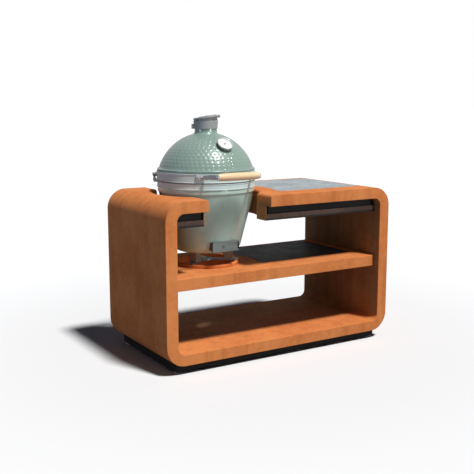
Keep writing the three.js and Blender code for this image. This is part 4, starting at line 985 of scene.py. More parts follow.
    def inlay_outline(
        self, slab: Inlay, ends: Triple, grow: float = 0.0
    ) -> np.ndarray:
        """A slab's outline whose left end is an arc about the grill's axis, its corners rounded outwards.

        Args:
            slab: the slab's radius and distances.
            ends: where the plate that holds it has its front, its rear and its right end.
            grow: how far the outline is widened all round.

        Returns:
            The outline, anticlockwise.
        """
        corner, reach = self.inlay_corner + grow, slab.radius + self.inlay_corner
        y0, y1 = ends[0] + slab.front - grow, ends[1] - slab.rear + grow
        x1 = ends[2] - slab.right + grow - self.place.x
        low, high = y0 + corner, y1 - corner
        front_meet, rear_meet = math.asin(low / reach), math.asin(high / reach)
        tip = 6.0 + grow
        parts = (
            arc(0, 0, slab.radius - grow, rear_meet, front_meet, 48),
            arc(reach * math.cos(front_meet), low, corner, front_meet + math.pi, 3 * QUARTER, 14),
            arc(x1 - tip, y0 + tip, tip, -QUARTER, 0, 6),
            arc(x1 - tip, y1 - tip, tip, 0, QUARTER, 6),
            arc(reach * math.cos(rear_meet), high, corner, QUARTER, rear_meet + math.pi, 14),
        )
        outline = np.vstack(parts)
        keep = np.linalg.norm(outline - np.roll(outline, 1, axis=0), axis=1) > 1e-6
        return outline[keep] + np.array([self.place.x, 0])

    def worktop_outline(self, grow: float = 0.0) -> np.ndarray:
        """The worktop inlay's outline."""
        return self.inlay_outline(self.worktop, (-self.half_y, self.half_y, self.half_x), grow)

    def shelf_outline(self, grow: float = 0.0) -> np.ndarray:
        """The shelf inlay's outline."""
        return self.inlay_outline(self.shelf_slab, (self.shelf_front, self.shelf_rear, self.inner_x), grow)

    def shelf(self) -> Obj:
        """The shelf: a plate with rounded edges, its hole and the bed of its inlay carved out."""
        x = self.inner_x - SEAT
        outline = soft_box(-x, self.shelf_front, x, self.shelf_rear, self.edge)
        low = self.shelf_top - self.shelf_thickness
        board = plate("shelf_plate", outline, low, self.shelf_top, self.edge)
        hole = full_circle(self.place.x, 0, self.hole_radius, 96)
        cutter = plate("hole", hole, low - 45, self.shelf_top + 90)
        return carve(board, [cutter, self.recess(self.shelf_outline(self.joint), self.shelf_top)])

    def shelf_ring(self) -> Obj:
        """The raised ring round the hole: a rounded section turned about the grill's axis."""
        z = self.shelf_top + SEAT
        inner, (width, height) = self.hole_radius + 1, self.ring
        section = soft_box(inner, z, inner + width, z + height, 5, 4)
        return moved(lathe("ring_round_hole", section, 128, True), (self.place.x, 0, 0))

    def apron_line(self, depth: float, right: bool) -> np.ndarray:
        """The apron's plan line at a depth behind its face: the front, round the grill place and the rear."""
        wall = self.inner_x - SEAT
        r = self.apron_corner
        cy = self.apron_y - r
        cx = self.place.half_gap + r
        y = np.linspace(-cy, cy, 97)
        edge = np.column_stack((self.place.half_width(y, depth), y))
        start = arc(cx, -cy, r - depth, -QUARTER, -2 * QUARTER, 8)[:-1]
        end = arc(cx, cy, r - depth, 2 * QUARTER, QUARTER, 8)[1:]
        line = np.vstack((start, edge, end))
        sign = 1 if right else -1
        line[:, 0] = self.place.x + sign * line[:, 0]
        front, rear = ([[sign * wall, way * (self.apron_y - depth)]] for way in (-1, 1))
        return np.vstack((front, line, rear))

    def apron_strip(self, name: str, near: float, heights: Pair, right: bool) -> Obj:
        """A strip of the apron: a rounded section of depth and height carried along the apron's line."""
        z0, z1 = heights
        fade = [(near, z0 + rise) for rise in self.band_fade[::-1]]
        section = np.vstack((soft_box(near, z0, self.apron_depth, z1, 1.5), fade))
        lines = [raised(self.apron_line(depth, right), z) for depth, z in section]
        return swept(name, np.stack(lines, axis=1), 30)

    def apron_skin(self, name: str, right: bool) -> Obj:
        """The rusty sheet that lines the apron along the grill place, down to the apron's foot."""
        y = np.linspace(1 - self.apron_y, self.apron_y - 1, 97)
        sign = 1 if right else -1
        lines = []
        near, far = self.skin
        for depth, z in soft_box(near, self.band[0], far, self.web[1], 0.8, 2):
            x = self.place.x + sign * self.place.half_width(y, depth)
            lines.append(raised(np.column_stack((x, y)), z))
        return swept(name, np.stack(lines, axis=1), 30)

    def build(self, finishes: Finishes) -> None:
        """Makes and dresses every piece of the table.

        Args:
            finishes: the finishes of every slot.
        """
        # The loop's inside gets painted shade through its mask.
        ready(mark_painted_shading(self.casing(), self.indoors), Body.TABLE, "rust", finishes, "steel_casing")
        worktop = self.slab("worktop_slab", self.worktop_outline(), self.top)
        ready(worktop, Body.TABLE, "stone", finishes, "worktop_inlay")
        ready(self.shelf(), Body.TABLE, "rust", finishes, "shelf_casing")
        slab = self.slab("shelf_slab", self.shelf_outline(), self.shelf_top)
        # The shelf inlay gets painted shade: a dark copy of the worktop's stone.
        ready(mark_painted_shading(slab, 1.0), Body.TABLE, "stone", finishes, "shelf_inlay")
        ready(self.shelf_ring(), Body.TABLE, "rust", finishes, "shelf_ring")
        low, high = self.band_fade
        for right, side in ((True, "right"), (False, "left")):
            # The webs are near black as painted shade under the worktop's lip.
            web = self.apron_strip(f"web_{side}", self.web_depth, self.web, right)
            ready(web, Body.TABLE, "black_steel", finishes, f"apron_web_{side}")
            band = self.apron_strip(f"band_{side}", 0, self.band, right)
            # The band is darker towards its lower edge: painted shade under it.
            mark_painted_shading(band, lambda points: smooth(self.band[0] - points[:, 2], -high, -low))
            ready(band, Body.TABLE, "brown_steel", finishes, f"apron_band_{side}")
            # The apron skin gets painted shade.
            skin = mark_painted_shading(self.apron_skin(f"skin_{side}", right), 0.8)
            ready(skin, Body.TABLE, "rust", finishes)


# The kamado grill


@dataclass
class Ceramic:
    """The bowl and the dome: thick glazed shells, the dome with rows of dimples. Sizes in millimetres."""

    x: float = AXIS_X
    bottom: float = 589.2
    rim_height: float = 400.0
    bowl_rim: float = 272.0
    dome_bottom: float = 995.9
    dome_rim: float = 274.0
    centre: float = 980.55
    sphere: float = 279.0
    wall: float = 22.0
    floor: float = 30.0
    pitch: float = 27.0
    row: float = 21.0
    bands: int = 8
    dimple: float = 10.4
    dimple_depth: float = 1.6
    neck: float = 63.0
    bore: float = 48.0
    neck_top: float = 1292.55
    fillet: float = 16.0
    edge: float = 3.0
    bowl_side: Outline = (
        (0.42, 0.0), (0.58, 0.006), (0.69, 0.045), (0.735, 0.12), (0.8, 0.295), (0.925, 0.63), (0.99, 0.845),
    )
    bowl_bead: Outline = ((0, 0.853), (2.5, 0.86), (2.5, 0.905), (0, 0.915))
    dome_bead: Outline = ((0, 0), (0, 51), (2.5, 55), (2.5, 62), (0.5, 65))
    inner_start: float = 0.13
    dimples_from: float = 68.0
    hollow_from: float = 42.0
    felt: Triple = (20.0, 5.0, 2.9)
    band_heights: Pair = (32.0, 48.0)
    band_steps: Triple = (4.9, 6.9, 4.0)

    def dimpled(self, name: str, profile: np.ndarray, first: int, last: int, sides: int = 432) -> Obj:
        """A turned shell with dimples over the stretch of its closed profile that is a part of the sphere.

        The stretch is cut into rows, each of as many bands of faces as bands says. A row holds a whole number
        of dimples, its length round the axis divided by the pitch, and every other row is shifted by half a
        dimple. The hollows are pressed into the mesh, and the UV map counts them for the clear coat.

        Args:
            name: name of the object.
            profile: profile of radius and height, with the outer wall running upwards.
            first: number of the profile's point where the dimples start.
            last: number of the point where they end.
            sides: columns round the axis.

        Returns:
            The shell, in its place.
        """
        stretch = profile[first : last + 1]
        length = np.concatenate(([0], np.cumsum(np.linalg.norm(np.diff(stretch, axis=0), axis=1))))
        rows = round(length[-1] / self.row)
        at = np.linspace(0, length[-1], rows * self.bands + 1)
        even = np.column_stack([np.interp(at, length, stretch[:, k]) for k in range(2)])
        full = np.vstack((profile[:first], even, profile[last + 1 :]))
        step = np.repeat(np.arange(len(full)), sides) - first
        column = np.tile(np.arange(sides), len(full))
        inside = (step >= 0) & (step < rows * self.bands)
        row = np.clip(step // self.bands, 0, rows - 1)
        counts = np.round(TURN * even[self.bands // 2 :: self.bands, 0] / self.pitch)
        shift = 0.5 * (row % 2)
        u0, u1 = column / sides * counts[row] + shift, (column + 1) / sides * counts[row] + shift
        v0, v1 = step / self.bands, (step + 1) / self.bands
        uv = np.stack((u0, v0, u1, v0, u1, v1, u0, v1), axis=-1) * inside[:, None]
        shell = lathe(name, full, sides, True, 35, uv)
        start = math.asin((even[0, 1] - self.centre) / self.sphere)
        return moved(self.pressed(shell, start, length[-1] / rows, counts), (self.x, 0, 0))

    def pressed(self, shell: Obj, start: float, height: float, counts: np.ndarray) -> Obj:
        """Presses the hollows into the sphere's part of a shell, towards the sphere's centre.

        Args:
            shell: the shell, still about the origin's axis.
            start: elevation where the rows begin, in radians.
            height: length of a row along the profile.
            counts: how many dimples each row holds.

        Returns:
            The same shell.
        """
        points = points_of(shell)
        out = points - (0, 0, self.centre)
        size = np.linalg.norm(out, axis=1)
        along = (np.arcsin(np.clip(out[:, 2] / size, -1, 1)) - start) * self.sphere / height
        on = (np.abs(size - self.sphere) < 0.2) & (along > 0) & (along < len(counts))
        row = np.clip(along.astype(int), 0, len(counts) - 1)
        around = np.arctan2(points[:, 1], points[:, 0]) / TURN % 1
        across = (around * counts[row] + 0.5 * (row % 2)) % 1 - 0.5
        away = np.hypot(across * self.pitch, (along % 1 - 0.5) * self.row)
        depth = self.dimple_depth * (1 - smooth(away, 0, self.dimple)) * on
        return put_points(shell, points - out * (depth / size)[:, None])

    def bowl(self) -> Obj:
        """The bowl: a smooth outside with a bead below the rim, a rounded rim and a plain inside."""
        r, h, w, e = self.bowl_rim, self.rim_height, self.wall, self.edge
        side = smooth_through([(r * a, h * b) for a, b in self.bowl_side], 8)
        bead = rounded([(r + out, share * h) for out, share in self.bowl_bead], 3, 3, False)
        rim = [arc(x, h - e, e, turn, turn + QUARTER, 4) for x, turn in ((r - e, 0), (r - w + e, QUARTER))]
        inner = side[side[:, 1] > self.inner_start * h][::-1] - np.array([w, 0])
        floor = self.bowl_side[3][0] * r - w
        foot = [(floor - 14, self.floor + 3), (floor - 30, self.floor), (0, self.floor)]
        profile = np.vstack(([(0, 0)], side, bead, *rim, inner, foot)) + np.array([0, self.bottom])
        return moved(lathe("bowl_shell", profile, 144), (self.x, 0, 0))

    def dome(self) -> Obj:
        """The dome: a straight rim, a bead, the dimpled sphere, the fillet and the neck, then the inside."""
        r, z, w, e = self.dome_rim, self.dome_bottom, self.wall, self.edge
        bead = rounded([(r + out, z + up) for out, up in self.dome_bead], 4, 4, False)
        start = math.asin((z + self.dimples_from - self.centre) / self.sphere)
        corner, reach = self.neck + self.fillet, self.sphere + self.fillet
        end = math.acos(corner / reach)
        ball = arc(0, self.centre, self.sphere, start, end - 0.02, 40)
        middle = self.centre + reach * math.sin(end)
        fillet = arc(corner, middle, self.fillet, math.pi + end, math.pi, 8)[1:]
        top = [*arc(self.neck - 2, self.neck_top - 2, 2, 0, QUARTER, 3), (self.bore, self.neck_top)]
        hollow = self.sphere - w
        low = math.asin((z + self.hollow_from - self.centre) / hollow)
        within = arc(0, self.centre, hollow, math.acos(self.bore / hollow), low, 30)
        inner_rim = arc(r - w + e, z + e, e, math.pi, 3 * QUARTER, 4)
        rim = arc(r - e, z + e, e, -QUARTER, 0, 4)
        profile = np.vstack((rim, bead[1:], ball, fillet, top, within, inner_rim))
        first = len(rim) + len(bead) - 1
        return self.dimpled("dome_shell", profile, first, first + len(ball) - 1)

    def gasket(self, name: str, z: float) -> Obj:
        """A felt ring on a rim, squeezed out a little past the rim's face."""
        inward, outward, thickness = self.felt
        inner, outer = self.bowl_rim - inward, self.bowl_rim + outward
        return moved(lathe(name, soft_box(inner, z, outer, z + thickness, 1.2), 96, True), (self.x, 0, 0))

    def band(self, name: str, radius: float, z0: float, height: float) -> Obj:
        """A steel band pressed from strip, with a turned-out flange at each edge."""
        face, out, flange = self.band_steps
        near, face, out, z1 = radius + SEAT, radius + face, radius + out, z0 + height
        low = [(near, z0), (out, z0), (out, z0 + flange), (face, z0 + flange)]
        high = [(face, z1 - flange), (out, z1 - flange), (out, z1), (near, z1)]
        return moved(lathe(name, rounded(low + high, 1.4, 3), 144, True), (self.x, 0, 0))

    def build(self, finishes: Finishes) -> None:
        """Makes and dresses the shells, the bands and the gaskets."""
        top = self.bottom + self.rim_height
        low, high = self.band_heights
        # The bowl gets painted light, lightening it against the worktop's shade.
        ready(mark_painted_shading(self.bowl(), 1.0), Body.TABLE, "glaze", finishes, "kamado_bowl")
        ready(self.dome(), Body.LID, "glaze", finishes, "kamado_dome")
        band = self.band("band_below", self.bowl_rim, top - low, low)
        ready(band, Body.TABLE, "band_steel", finishes, "lower_band")
        band = self.band("band_above", self.dome_rim, self.dome_bottom, high)
        ready(band, Body.LID, "band_steel", finishes, "upper_band")
        ready(self.gasket("felt_below", top + SEAT), Body.TABLE, "felt", finishes, "lower_gasket")
        felt = self.gasket("felt_above", self.dome_bottom - self.felt[2] - SEAT)
        ready(felt, Body.LID, "felt", finishes, "upper_gasket")


@dataclass
class Draft:
    """The air inlet low at the front, and the blocks under the bowl. Sizes in millimetres.

    The inlet is a frame with two slots, in which a solid door with a knob and a screen slide.
    """

    x: float = AXIS_X
    back: float = -207.8
    low: float = 609.2
    height: float = 58.0
    half: float = 84.0
    opening: Pair = (-380.0, -306.0)
    opening_height: float = 38.0
    sleeve_end: float = -156.8
    sheet: float = 1.8
    play: float = 3.3
    door_depth: float = 7.9
    screen_depth: float = 3.5
    hole_half: float = 3.5
    lips: Outline = (
        (11.8, 0), (11.8, 8), (10.2, 8), (10.2, 3), (7.4, 3), (7.4, 8), (5.8, 8), (5.8, 3), (3, 3),
    )
    brick: Triple = (96.0, 150.0, 22.0)
    brick_heights: Pair = (536.9, 589.0)

    @staticmethod
    def carried(name: str, outline: np.ndarray, x0: float, x1: float, edge: float) -> Obj:
        """A closed outline of y and z carried along x, with softened ends."""
        return moved(plate(name, outline, x0, x1, edge), turn=UPRIGHT)

    def frame(self) -> Obj:
        """The frame: a sheet with two slots along its top and bottom, and a sleeve through the bowl."""
        upper = [(depth, self.height - z) for depth, z in self.lips[::-1]]
        outline = [(0, 0), *self.lips, *upper, (0, self.height)]
        rail = rounded([(self.back - depth, self.low + z) for depth, z in outline], 0.5, 2)
        rails = self.carried("rails", rail[::-1], self.x - self.half, self.x + self.half, 0.6)
        x0, x1 = self.opening
        z0 = self.low + (self.height - self.opening_height) / 2
        z1 = z0 + self.opening_height
        sleeve = block("sleeve", (x0 - 3, self.back - 1, z0 - 3), (x1 + 3, self.sleeve_end, z1 + 3), 1)
        way = block("way", (x0, self.back - 30, z0), (x1, -100, z1), 2)
        return carve(joined("inlet_frame", [rails, sleeve]), [way], "MANIFOLD")

    def panel(self, name: str, depth: float) -> Obj:
        """A sliding panel of thin sheet, depth in front of the frame's back."""
        near = self.back - depth
        low = (self.x - self.half, near - self.sheet, self.low + self.play)
        return block(name, low, (self.x - 2, near, self.low + self.height - self.play), 0.6)

    def door(self) -> Obj:
        """The door with its turned knob."""
        profile = [(0, -1), (2.4, -1), (2.4, 3), (4.6, 4.2), (5, 6.5), (4.2, 8.6), (2.2, 9.2), (0, 9.4)]
        place = (self.x - 12, self.back - 9.4, self.low + self.height / 2)
        knob = moved(lathe("knob", profile, 24), place, turned("x", QUARTER))
        return joined("inlet_door", [self.panel("sheet", self.door_depth), knob])

    def screen(self) -> Obj:
        """The screen: a panel with three rows of square holes."""
        half, columns, rows = self.hole_half, 6, 3
        wide, high = (self.opening[1] - self.opening[0]) / columns, self.opening_height / rows
        z0 = self.low + (self.height - self.opening_height) / 2
        cutters = []
        for column in range(columns):
            for row in range(rows):
                x, z = self.opening[0] + (column + 0.5) * wide, z0 + (row + 0.5) * high
                cutters.append(block("hole", (x - half, -230, z - half), (x + half, -200, z + half), 0.4))
        return carve(self.panel("inlet_screen", self.screen_depth), cutters, "MANIFOLD")

    def stand_block(self, name: str, angle: float) -> Obj:
        """A block that carries the bowl, turned about the grill's axis."""
        near, far, half = self.brick
        brick = plate(name, soft_box(near, -half, far, half, 6, 4), *self.brick_heights, 2.0)
        return moved(brick, (self.x, 0, 0), turned("z", angle))

    def build(self, finishes: Finishes) -> None:
        """Makes and dresses the inlet's parts and the blocks under the bowl, all darkened with painted shade.
        """
        ready(mark_painted_shading(self.frame(), 1.0), Body.TABLE, "steel", finishes, "draft_frame")
        ready(mark_painted_shading(self.door(), 1.0), Body.DOOR, "steel", finishes, "draft_door")
        ready(mark_painted_shading(self.screen(), 1.0), Body.SCREEN, "steel", finishes, "draft_screen")
        for place, turn in (("rear", 0), ("left", TURN / 3), ("right", -TURN / 3)):
            brick = mark_painted_shading(self.stand_block(f"brick_{place}", QUARTER + turn), 1.0)
            ready(brick, Body.TABLE, "firebrick", finishes, f"stand_block_{place}")


@dataclass
class Handle:
    """The wooden bar and its two steel arms. Sizes in millimetres."""

    x: float = AXIS_X
    y: float = -353.2
    z: float = 1035.55
    half: float = 128.0
    radius: float = 21.5
    end_radius: float = 18.0
    face: float = 281.2
    foot: float = 0.2 * math.pi
    foot_half: float = 22.0
    thickness: float = 6.0
    plate: float = 14.0
    low: float = 1016.0
    strip: float = 26.0
    rise_from: float = 245.0
    rise_to: float = 325.0
    bolt_turn: float = 0.032
    bar_edge: float = 3.0
    bore: float = 5.3
    rod_radius: float = 5.0
    head: Pair = (9.0, 4.0)

    def bar(self) -> Obj:
        """The bar: a swelling profile turned about its own axis, then laid along the table."""
        share = np.linspace(0, 1, 25)
        swell = self.end_radius + (self.radius - self.end_radius) * np.sqrt(np.sin(math.pi * share))
        edge = self.bar_edge
        side = np.column_stack((swell, -self.half + edge + 2 * (self.half - edge) * share))
        low = arc(self.end_radius - edge, -self.half + edge, edge, -QUARTER, 0, 4)[:-1]
        high = arc(self.end_radius - edge, self.half - edge, edge, 0, QUARTER, 4)[1:]
        profile = np.vstack(([(self.bore, -self.half)], low, side, high, [(self.bore, self.half)]))
        bar = lathe("wooden_bar", profile, 64, True)
        return moved(bar, (self.x, self.y, self.z), turned("y", QUARTER))

    def arm(self, side: int) -> Obj:
        """An arm: a foot that hugs the band, a bend and a plate at the end of the bar.

        Args:
            side: 1 for the right arm, -1 for the left one.

        Returns:
            The arm.
        """
        t, x, y = self.thickness, self.half + SEAT, self.y
        front, spread = -QUARTER + self.foot, self.foot_half / self.face
        inner = arc(0, 0, self.face, front - spread, front + spread, 8)
        outer = arc(0, 0, self.face + t, front + spread, front - spread, 8)
        bend = outer[-1] + np.array([t, -t])
        far, near = y + self.plate, y - self.plate
        end = [(x + t, far), (x + t, near), (x, near), (x, far - t)]
        plan = np.vstack((inner, outer[:-1], [bend], end, [inner[0] - np.array([t / 2, t])]))
        if side < 0:
            plan = plan[::-1] * np.array([-1, 1])
        soft = rounded(plan, 3, 3)
        after = np.roll(soft, -1, axis=0)
        if np.sum(soft[:, 0] * after[:, 1] - after[:, 0] * soft[:, 1]) < 0:
            soft = soft[::-1]
            after = np.roll(soft, -1, axis=0)
        steps = []
        for a, b, gap in zip(soft, after, np.linalg.norm(after - soft, axis=1)):
            steps.append(np.linspace(a, b, max(2, int(gap / 8) + 1))[:-1])
        arm = plate(f"handle_plate_{hand(side)}", np.vstack(steps), self.low, self.low + self.strip, 1.0)
        points = points_of(arm)
        share = smooth(-points[:, 1], self.rise_from, self.rise_to)
        points[:, 2] += (self.z - self.low - self.strip / 2) * share
        return put_points(arm, points + (self.x, 0, 0))

    def bolts(self, side: int) -> Obj:
        """The two round-headed bolts of an arm's foot."""
        profile = [(0, -12), (3.9, -12), (3.9, 0.2), (6, 0.2), (5.6, 2.2), (3.6, 3.6), (0, 4.1)]
        heads = []
        for shift in (-self.bolt_turn, self.bolt_turn):
            turn = turned("z", -QUARTER + side * (self.foot + shift)) @ turned("y", QUARTER)
            place = turn @ np.array([0, 0, self.face + self.thickness])
            place = place + (self.x, 0, self.low + self.strip / 2)
            heads.append(moved(lathe("bolt", profile, 20), place, turn))
        return joined(f"foot_bolts_{hand(side)}", heads)

    def rod(self) -> Obj:
        """The rod through the bar, with a low domed head past each arm."""
        end = self.half + 2 * SEAT + self.thickness
        wide, rise = self.head
        head = low_dome(wide, end, rise, 6)
        shaft = [(self.rod_radius, -end), (self.rod_radius, end)]
        profile = np.vstack((head[::-1] * (1, -1), shaft, head))
        return moved(lathe("handle_spindle", profile, 24), (self.x, self.y, self.z), turned("y", QUARTER))

    def build(self, finishes: Finishes) -> None:
        """Makes and dresses the bar, the arms with their bolts, and the rod."""
        ready(self.bar(), Body.LID, "wood", finishes, "handle_bar")
        for side in (-1, 1):
            ready(self.arm(side), Body.LID, "band_steel", finishes, f"handle_arm_{hand(side)}")
            ready(self.bolts(side), Body.LID, "steel", finishes, f"handle_bolt_{hand(side)}")
        ready(self.rod(), Body.LID, "steel", finishes, "handle_rod")


@dataclass
class Vent:
    """The cast-iron cap on the neck with its swinging disc and slotted wheel. Sizes in millimetres."""

    x: float = AXIS_X
    bottom: float = 1278.55
    height: float = 58.0
    low_radius: float = 66.0
    step_radius: float = 69.4
    step_height: float = 45.0
    top_radius: float = 66.4
    bore: float = 40.0
    socket: float = 63.3
    neck_top: float = 1292.85
    slope: float = 0.0467 * math.pi
    rise: float = -0.176 * math.pi
    disc_radius: float = 75.6
    disc_offset: float = 5.6
    wheel_radius: float = 46.0
    hole_radius: float = 10.0
    hole_circle: float = 28.0
    holes: int = 5
    pin_hole: float = 4.3
    pivot: float = -56.0
    edge: float = 1.6
    disc_heights: Pair = (SEAT, 9.3)
    wheel_heights: Pair = (9.6, 12.6)
    through: Pair = (-5.0, 25.0)
    tab: Pair = (10.0, 5.0)
    tab_turn: float = 0.12
    lug_x: Pair = (-80.0, -62.0)
    lug_sides: Outline = ((-11.0, -2.0), (2.0, 11.0))
    lug_height: float = 26.0

    def body(self) -> Obj:
        """The cap: a turned casting with two clamp lugs, its seat lifted along the slope."""
        e, low, step = self.edge, self.bottom, self.bottom + self.step_height
        top = low + self.height
        profile = (
            (self.socket + 0.4, low),
            (self.low_radius - e, low),
            (self.low_radius, low + e),
            (self.step_radius, step - e),
            (self.step_radius - e, step),
            (self.top_radius + 0.4, step + 0.2),
            (self.top_radius, step + 0.6),
            (self.top_radius, top - e),
            (self.top_radius - e, top),
            (self.bore + e, top),
            (self.bore, top - e),
            (self.bore, self.neck_top),
            (self.socket, self.neck_top),
            (self.socket, low + 0.6),
        )
        cap = lathe("cap_casting", profile, 96, True)
        points = points_of(cap)
        lift = math.tan(self.slope) * (points[:, :2] @ (math.cos(self.rise), math.sin(self.rise)))
        points[:, 2] += lift * (points[:, 2] > step + 1)
        parts = [put_points(cap, points)]
        left, right = self.lug_x
        for near, far in self.lug_sides:
            lug = block("lug", (left, near, low), (right, far, low + self.lug_height), 2.5)
            parts.append(moved(lug, turn=turned("z", self.rise)))
        return moved(joined("cap_casting", parts), (self.x, 0, 0))

    def placed(self, obj: Obj) -> Obj:
        """Moves a piece from the slope's own frame to its place."""
        turn = turned("z", self.rise) @ turned("y", -self.slope)
        return moved(obj, (self.x, 0, self.bottom + self.height), turn)

    def round_holes(self, radius: float, circle: float = 0.0, turn: float = 0.0, count: int = 1) -> list[Obj]:
        """Cutters for round holes evenly spaced on a circle about the disc's middle."""
        cutters = []
        for angle in turn + spokes(count):
            cx, cy = self.disc_offset + circle * math.cos(angle), circle * math.sin(angle)
            cutters.append(plate("hole", full_circle(cx, cy, radius, 32), *self.through))
        return cutters

    def disc(self) -> Obj:
        """The disc that swings aside, with its holes and a thick grip at its high end."""
        outline = full_circle(self.disc_offset, 0, self.disc_radius, 96)
        disc = plate("swing_disc", outline, *self.disc_heights, 3.0)
        pivot = plate("hole", full_circle(self.pivot, 0, self.pin_hole, 24), *self.through)
        cutters = self.round_holes(self.hole_radius, self.hole_circle, 0, self.holes)
        disc = carve(disc, [*cutters, *self.round_holes(self.pin_hole), pivot])
        end = self.disc_offset + self.disc_radius
        grip = block("grip", (end - 13, -12, -6.5), (end + 2, 12, self.disc_heights[1]), 5)
        return self.placed(joined("swing_disc", [disc, grip]))

    def rivet(self, name: str, x: float, low: float, high: float) -> Obj:
        """A rivet with a low domed head, standing in the disc at x."""
        shaft, rise = 3.9, 2.4
        head = low_dome(8, high - rise, rise, 7)
        profile = np.vstack(([(0, low), (shaft, low), (shaft, high - rise)], head))
        return self.placed(moved(lathe(name, profile, 32), (x, 0, 0)))

    def wheel(self) -> Obj:
        """The wheel that closes the disc's holes, with its finger tab."""
        outline = arc(self.disc_offset, 0, self.wheel_radius, self.tab_turn, TURN - self.tab_turn, 80)
        reach, half = self.tab
        root = self.disc_offset + self.wheel_radius
        tip = root + reach
        tab = rounded([(root, -half), (tip, -half), (tip, half), (root, half)], 2.5, 3, False)
        wheel = plate("slotted_wheel", np.vstack((outline, tab)), *self.wheel_heights, 0.8)
        cutters = self.round_holes(self.hole_radius, self.hole_circle, math.pi / self.holes, self.holes)
        return self.placed(carve(wheel, [*cutters, *self.round_holes(self.pin_hole)]))

    def build(self, finishes: Finishes) -> None:
        """Makes and dresses the cap, the disc, the wheel and the two rivets."""
        ready(self.body(), Body.LID, "cast_iron", finishes, "cap_body")
        ready(self.disc(), Body.VENT, "cast_iron", finishes, "vent_disc")
        ready(self.wheel(), Body.WHEEL, "cast_iron", finishes, "daisy_wheel")
        swing = self.rivet("swing_rivet", self.pivot, -15.0, 12.0)
        ready(swing, Body.LID, "cast_iron", finishes, "disc_pivot")
        middle = self.rivet("wheel_rivet", self.disc_offset, 1.0, 15.3)
        ready(middle, Body.VENT, "cast_iron", finishes, "wheel_pivot")


@dataclass
class Thermometer:
    """The dial thermometer in the front of the dome. Sizes in millimetres."""

    x: float = AXIS_X
    centre: float = 980.55
    sphere: float = 279.0
    tilt: float = math.pi / 2 - 0.272 * math.pi
    turn: float = 0.019 * math.pi
    radius: float = 46.5
    dial_radius: float = 42.2
    dial_z: float = 12.3
    dial_thickness: float = 1.2
    pane: Pair = (17.9, 19.5)
    stem: Outline = ((0, -92), (1.6, -91.5), (3.2, -88.8), (3.2, 2.4), (10, 2.4), (10, 7))
    back: Pair = (5.0, 12.0)
    bezel: Pair = (2.0, 18.6)
    scale: Pair = (225.0, 270.0)
    mark_end: float = 37.0
    long_mark: Pair = (31.5, 0.4)
    short_mark: Pair = (34.5, 0.2)

    def placed(self, obj: Obj) -> Obj:
        """Moves a piece from the stem's own frame to its place on the dome."""
        turn = turned("z", self.turn) @ turned("x", self.tilt)
        return moved(obj, turn @ (0, 0, self.sphere) + (self.x, 0, self.centre), turn)

    def case(self) -> Obj:
        """The case with its rounded bezel, and the stem through the dome."""
        (corner, floor), (lip, height) = self.back, self.bezel
        flat = self.radius - corner
        back = arc(flat, floor, corner, -QUARTER, 0, 5)
        bezel = arc(self.radius - lip, height, lip, 0, 2 * QUARTER, 8)
        profile = np.vstack((self.stem, back, bezel, [(flat, floor), (0, floor)]))
        return self.placed(lathe("bezel", profile, 72, sharp=40))

    def round_plate(self, name: str, low: float, high: float) -> Obj:
        """A round plate as wide as the dial, between two heights over the stem's foot."""
        return self.placed(plate(name, full_circle(0, 0, self.dial_radius, 72), low, high))

    def ticks(self) -> Obj:
        """The scale: short and long marks over three quarters of a turn, on the dial's face."""
        z = self.dial_z + self.dial_thickness
        (first, sweep), steps = self.scale, 50
        marks = []
        for i in range(steps + 1):
            inner, half = self.short_mark if i % 5 else self.long_mark
            mark = block("mark", (inner, -half, z), (self.mark_end, half, z + 0.12), 0.05)
            marks.append(moved(mark, turn=turned("z", math.radians(first - sweep * i / steps))))
        return self.placed(joined("scale_marks", marks))

    def build(self, finishes: Finishes) -> None:
        """Makes and dresses the case, the dial, its marks and the glass."""
        face = self.round_plate("dial_face", self.dial_z, self.dial_z + self.dial_thickness)
        pane = self.round_plate("dial_pane", *self.pane)
        ready(self.case(), Body.LID, "steel", finishes, "thermometer_case")
        ready(face, Body.LID, "dial", finishes, "thermometer_dial")
        ready(self.ticks(), Body.LID, "needle", finishes)
        ready(pane, Body.LID, "glass", finishes, "thermometer_glass")


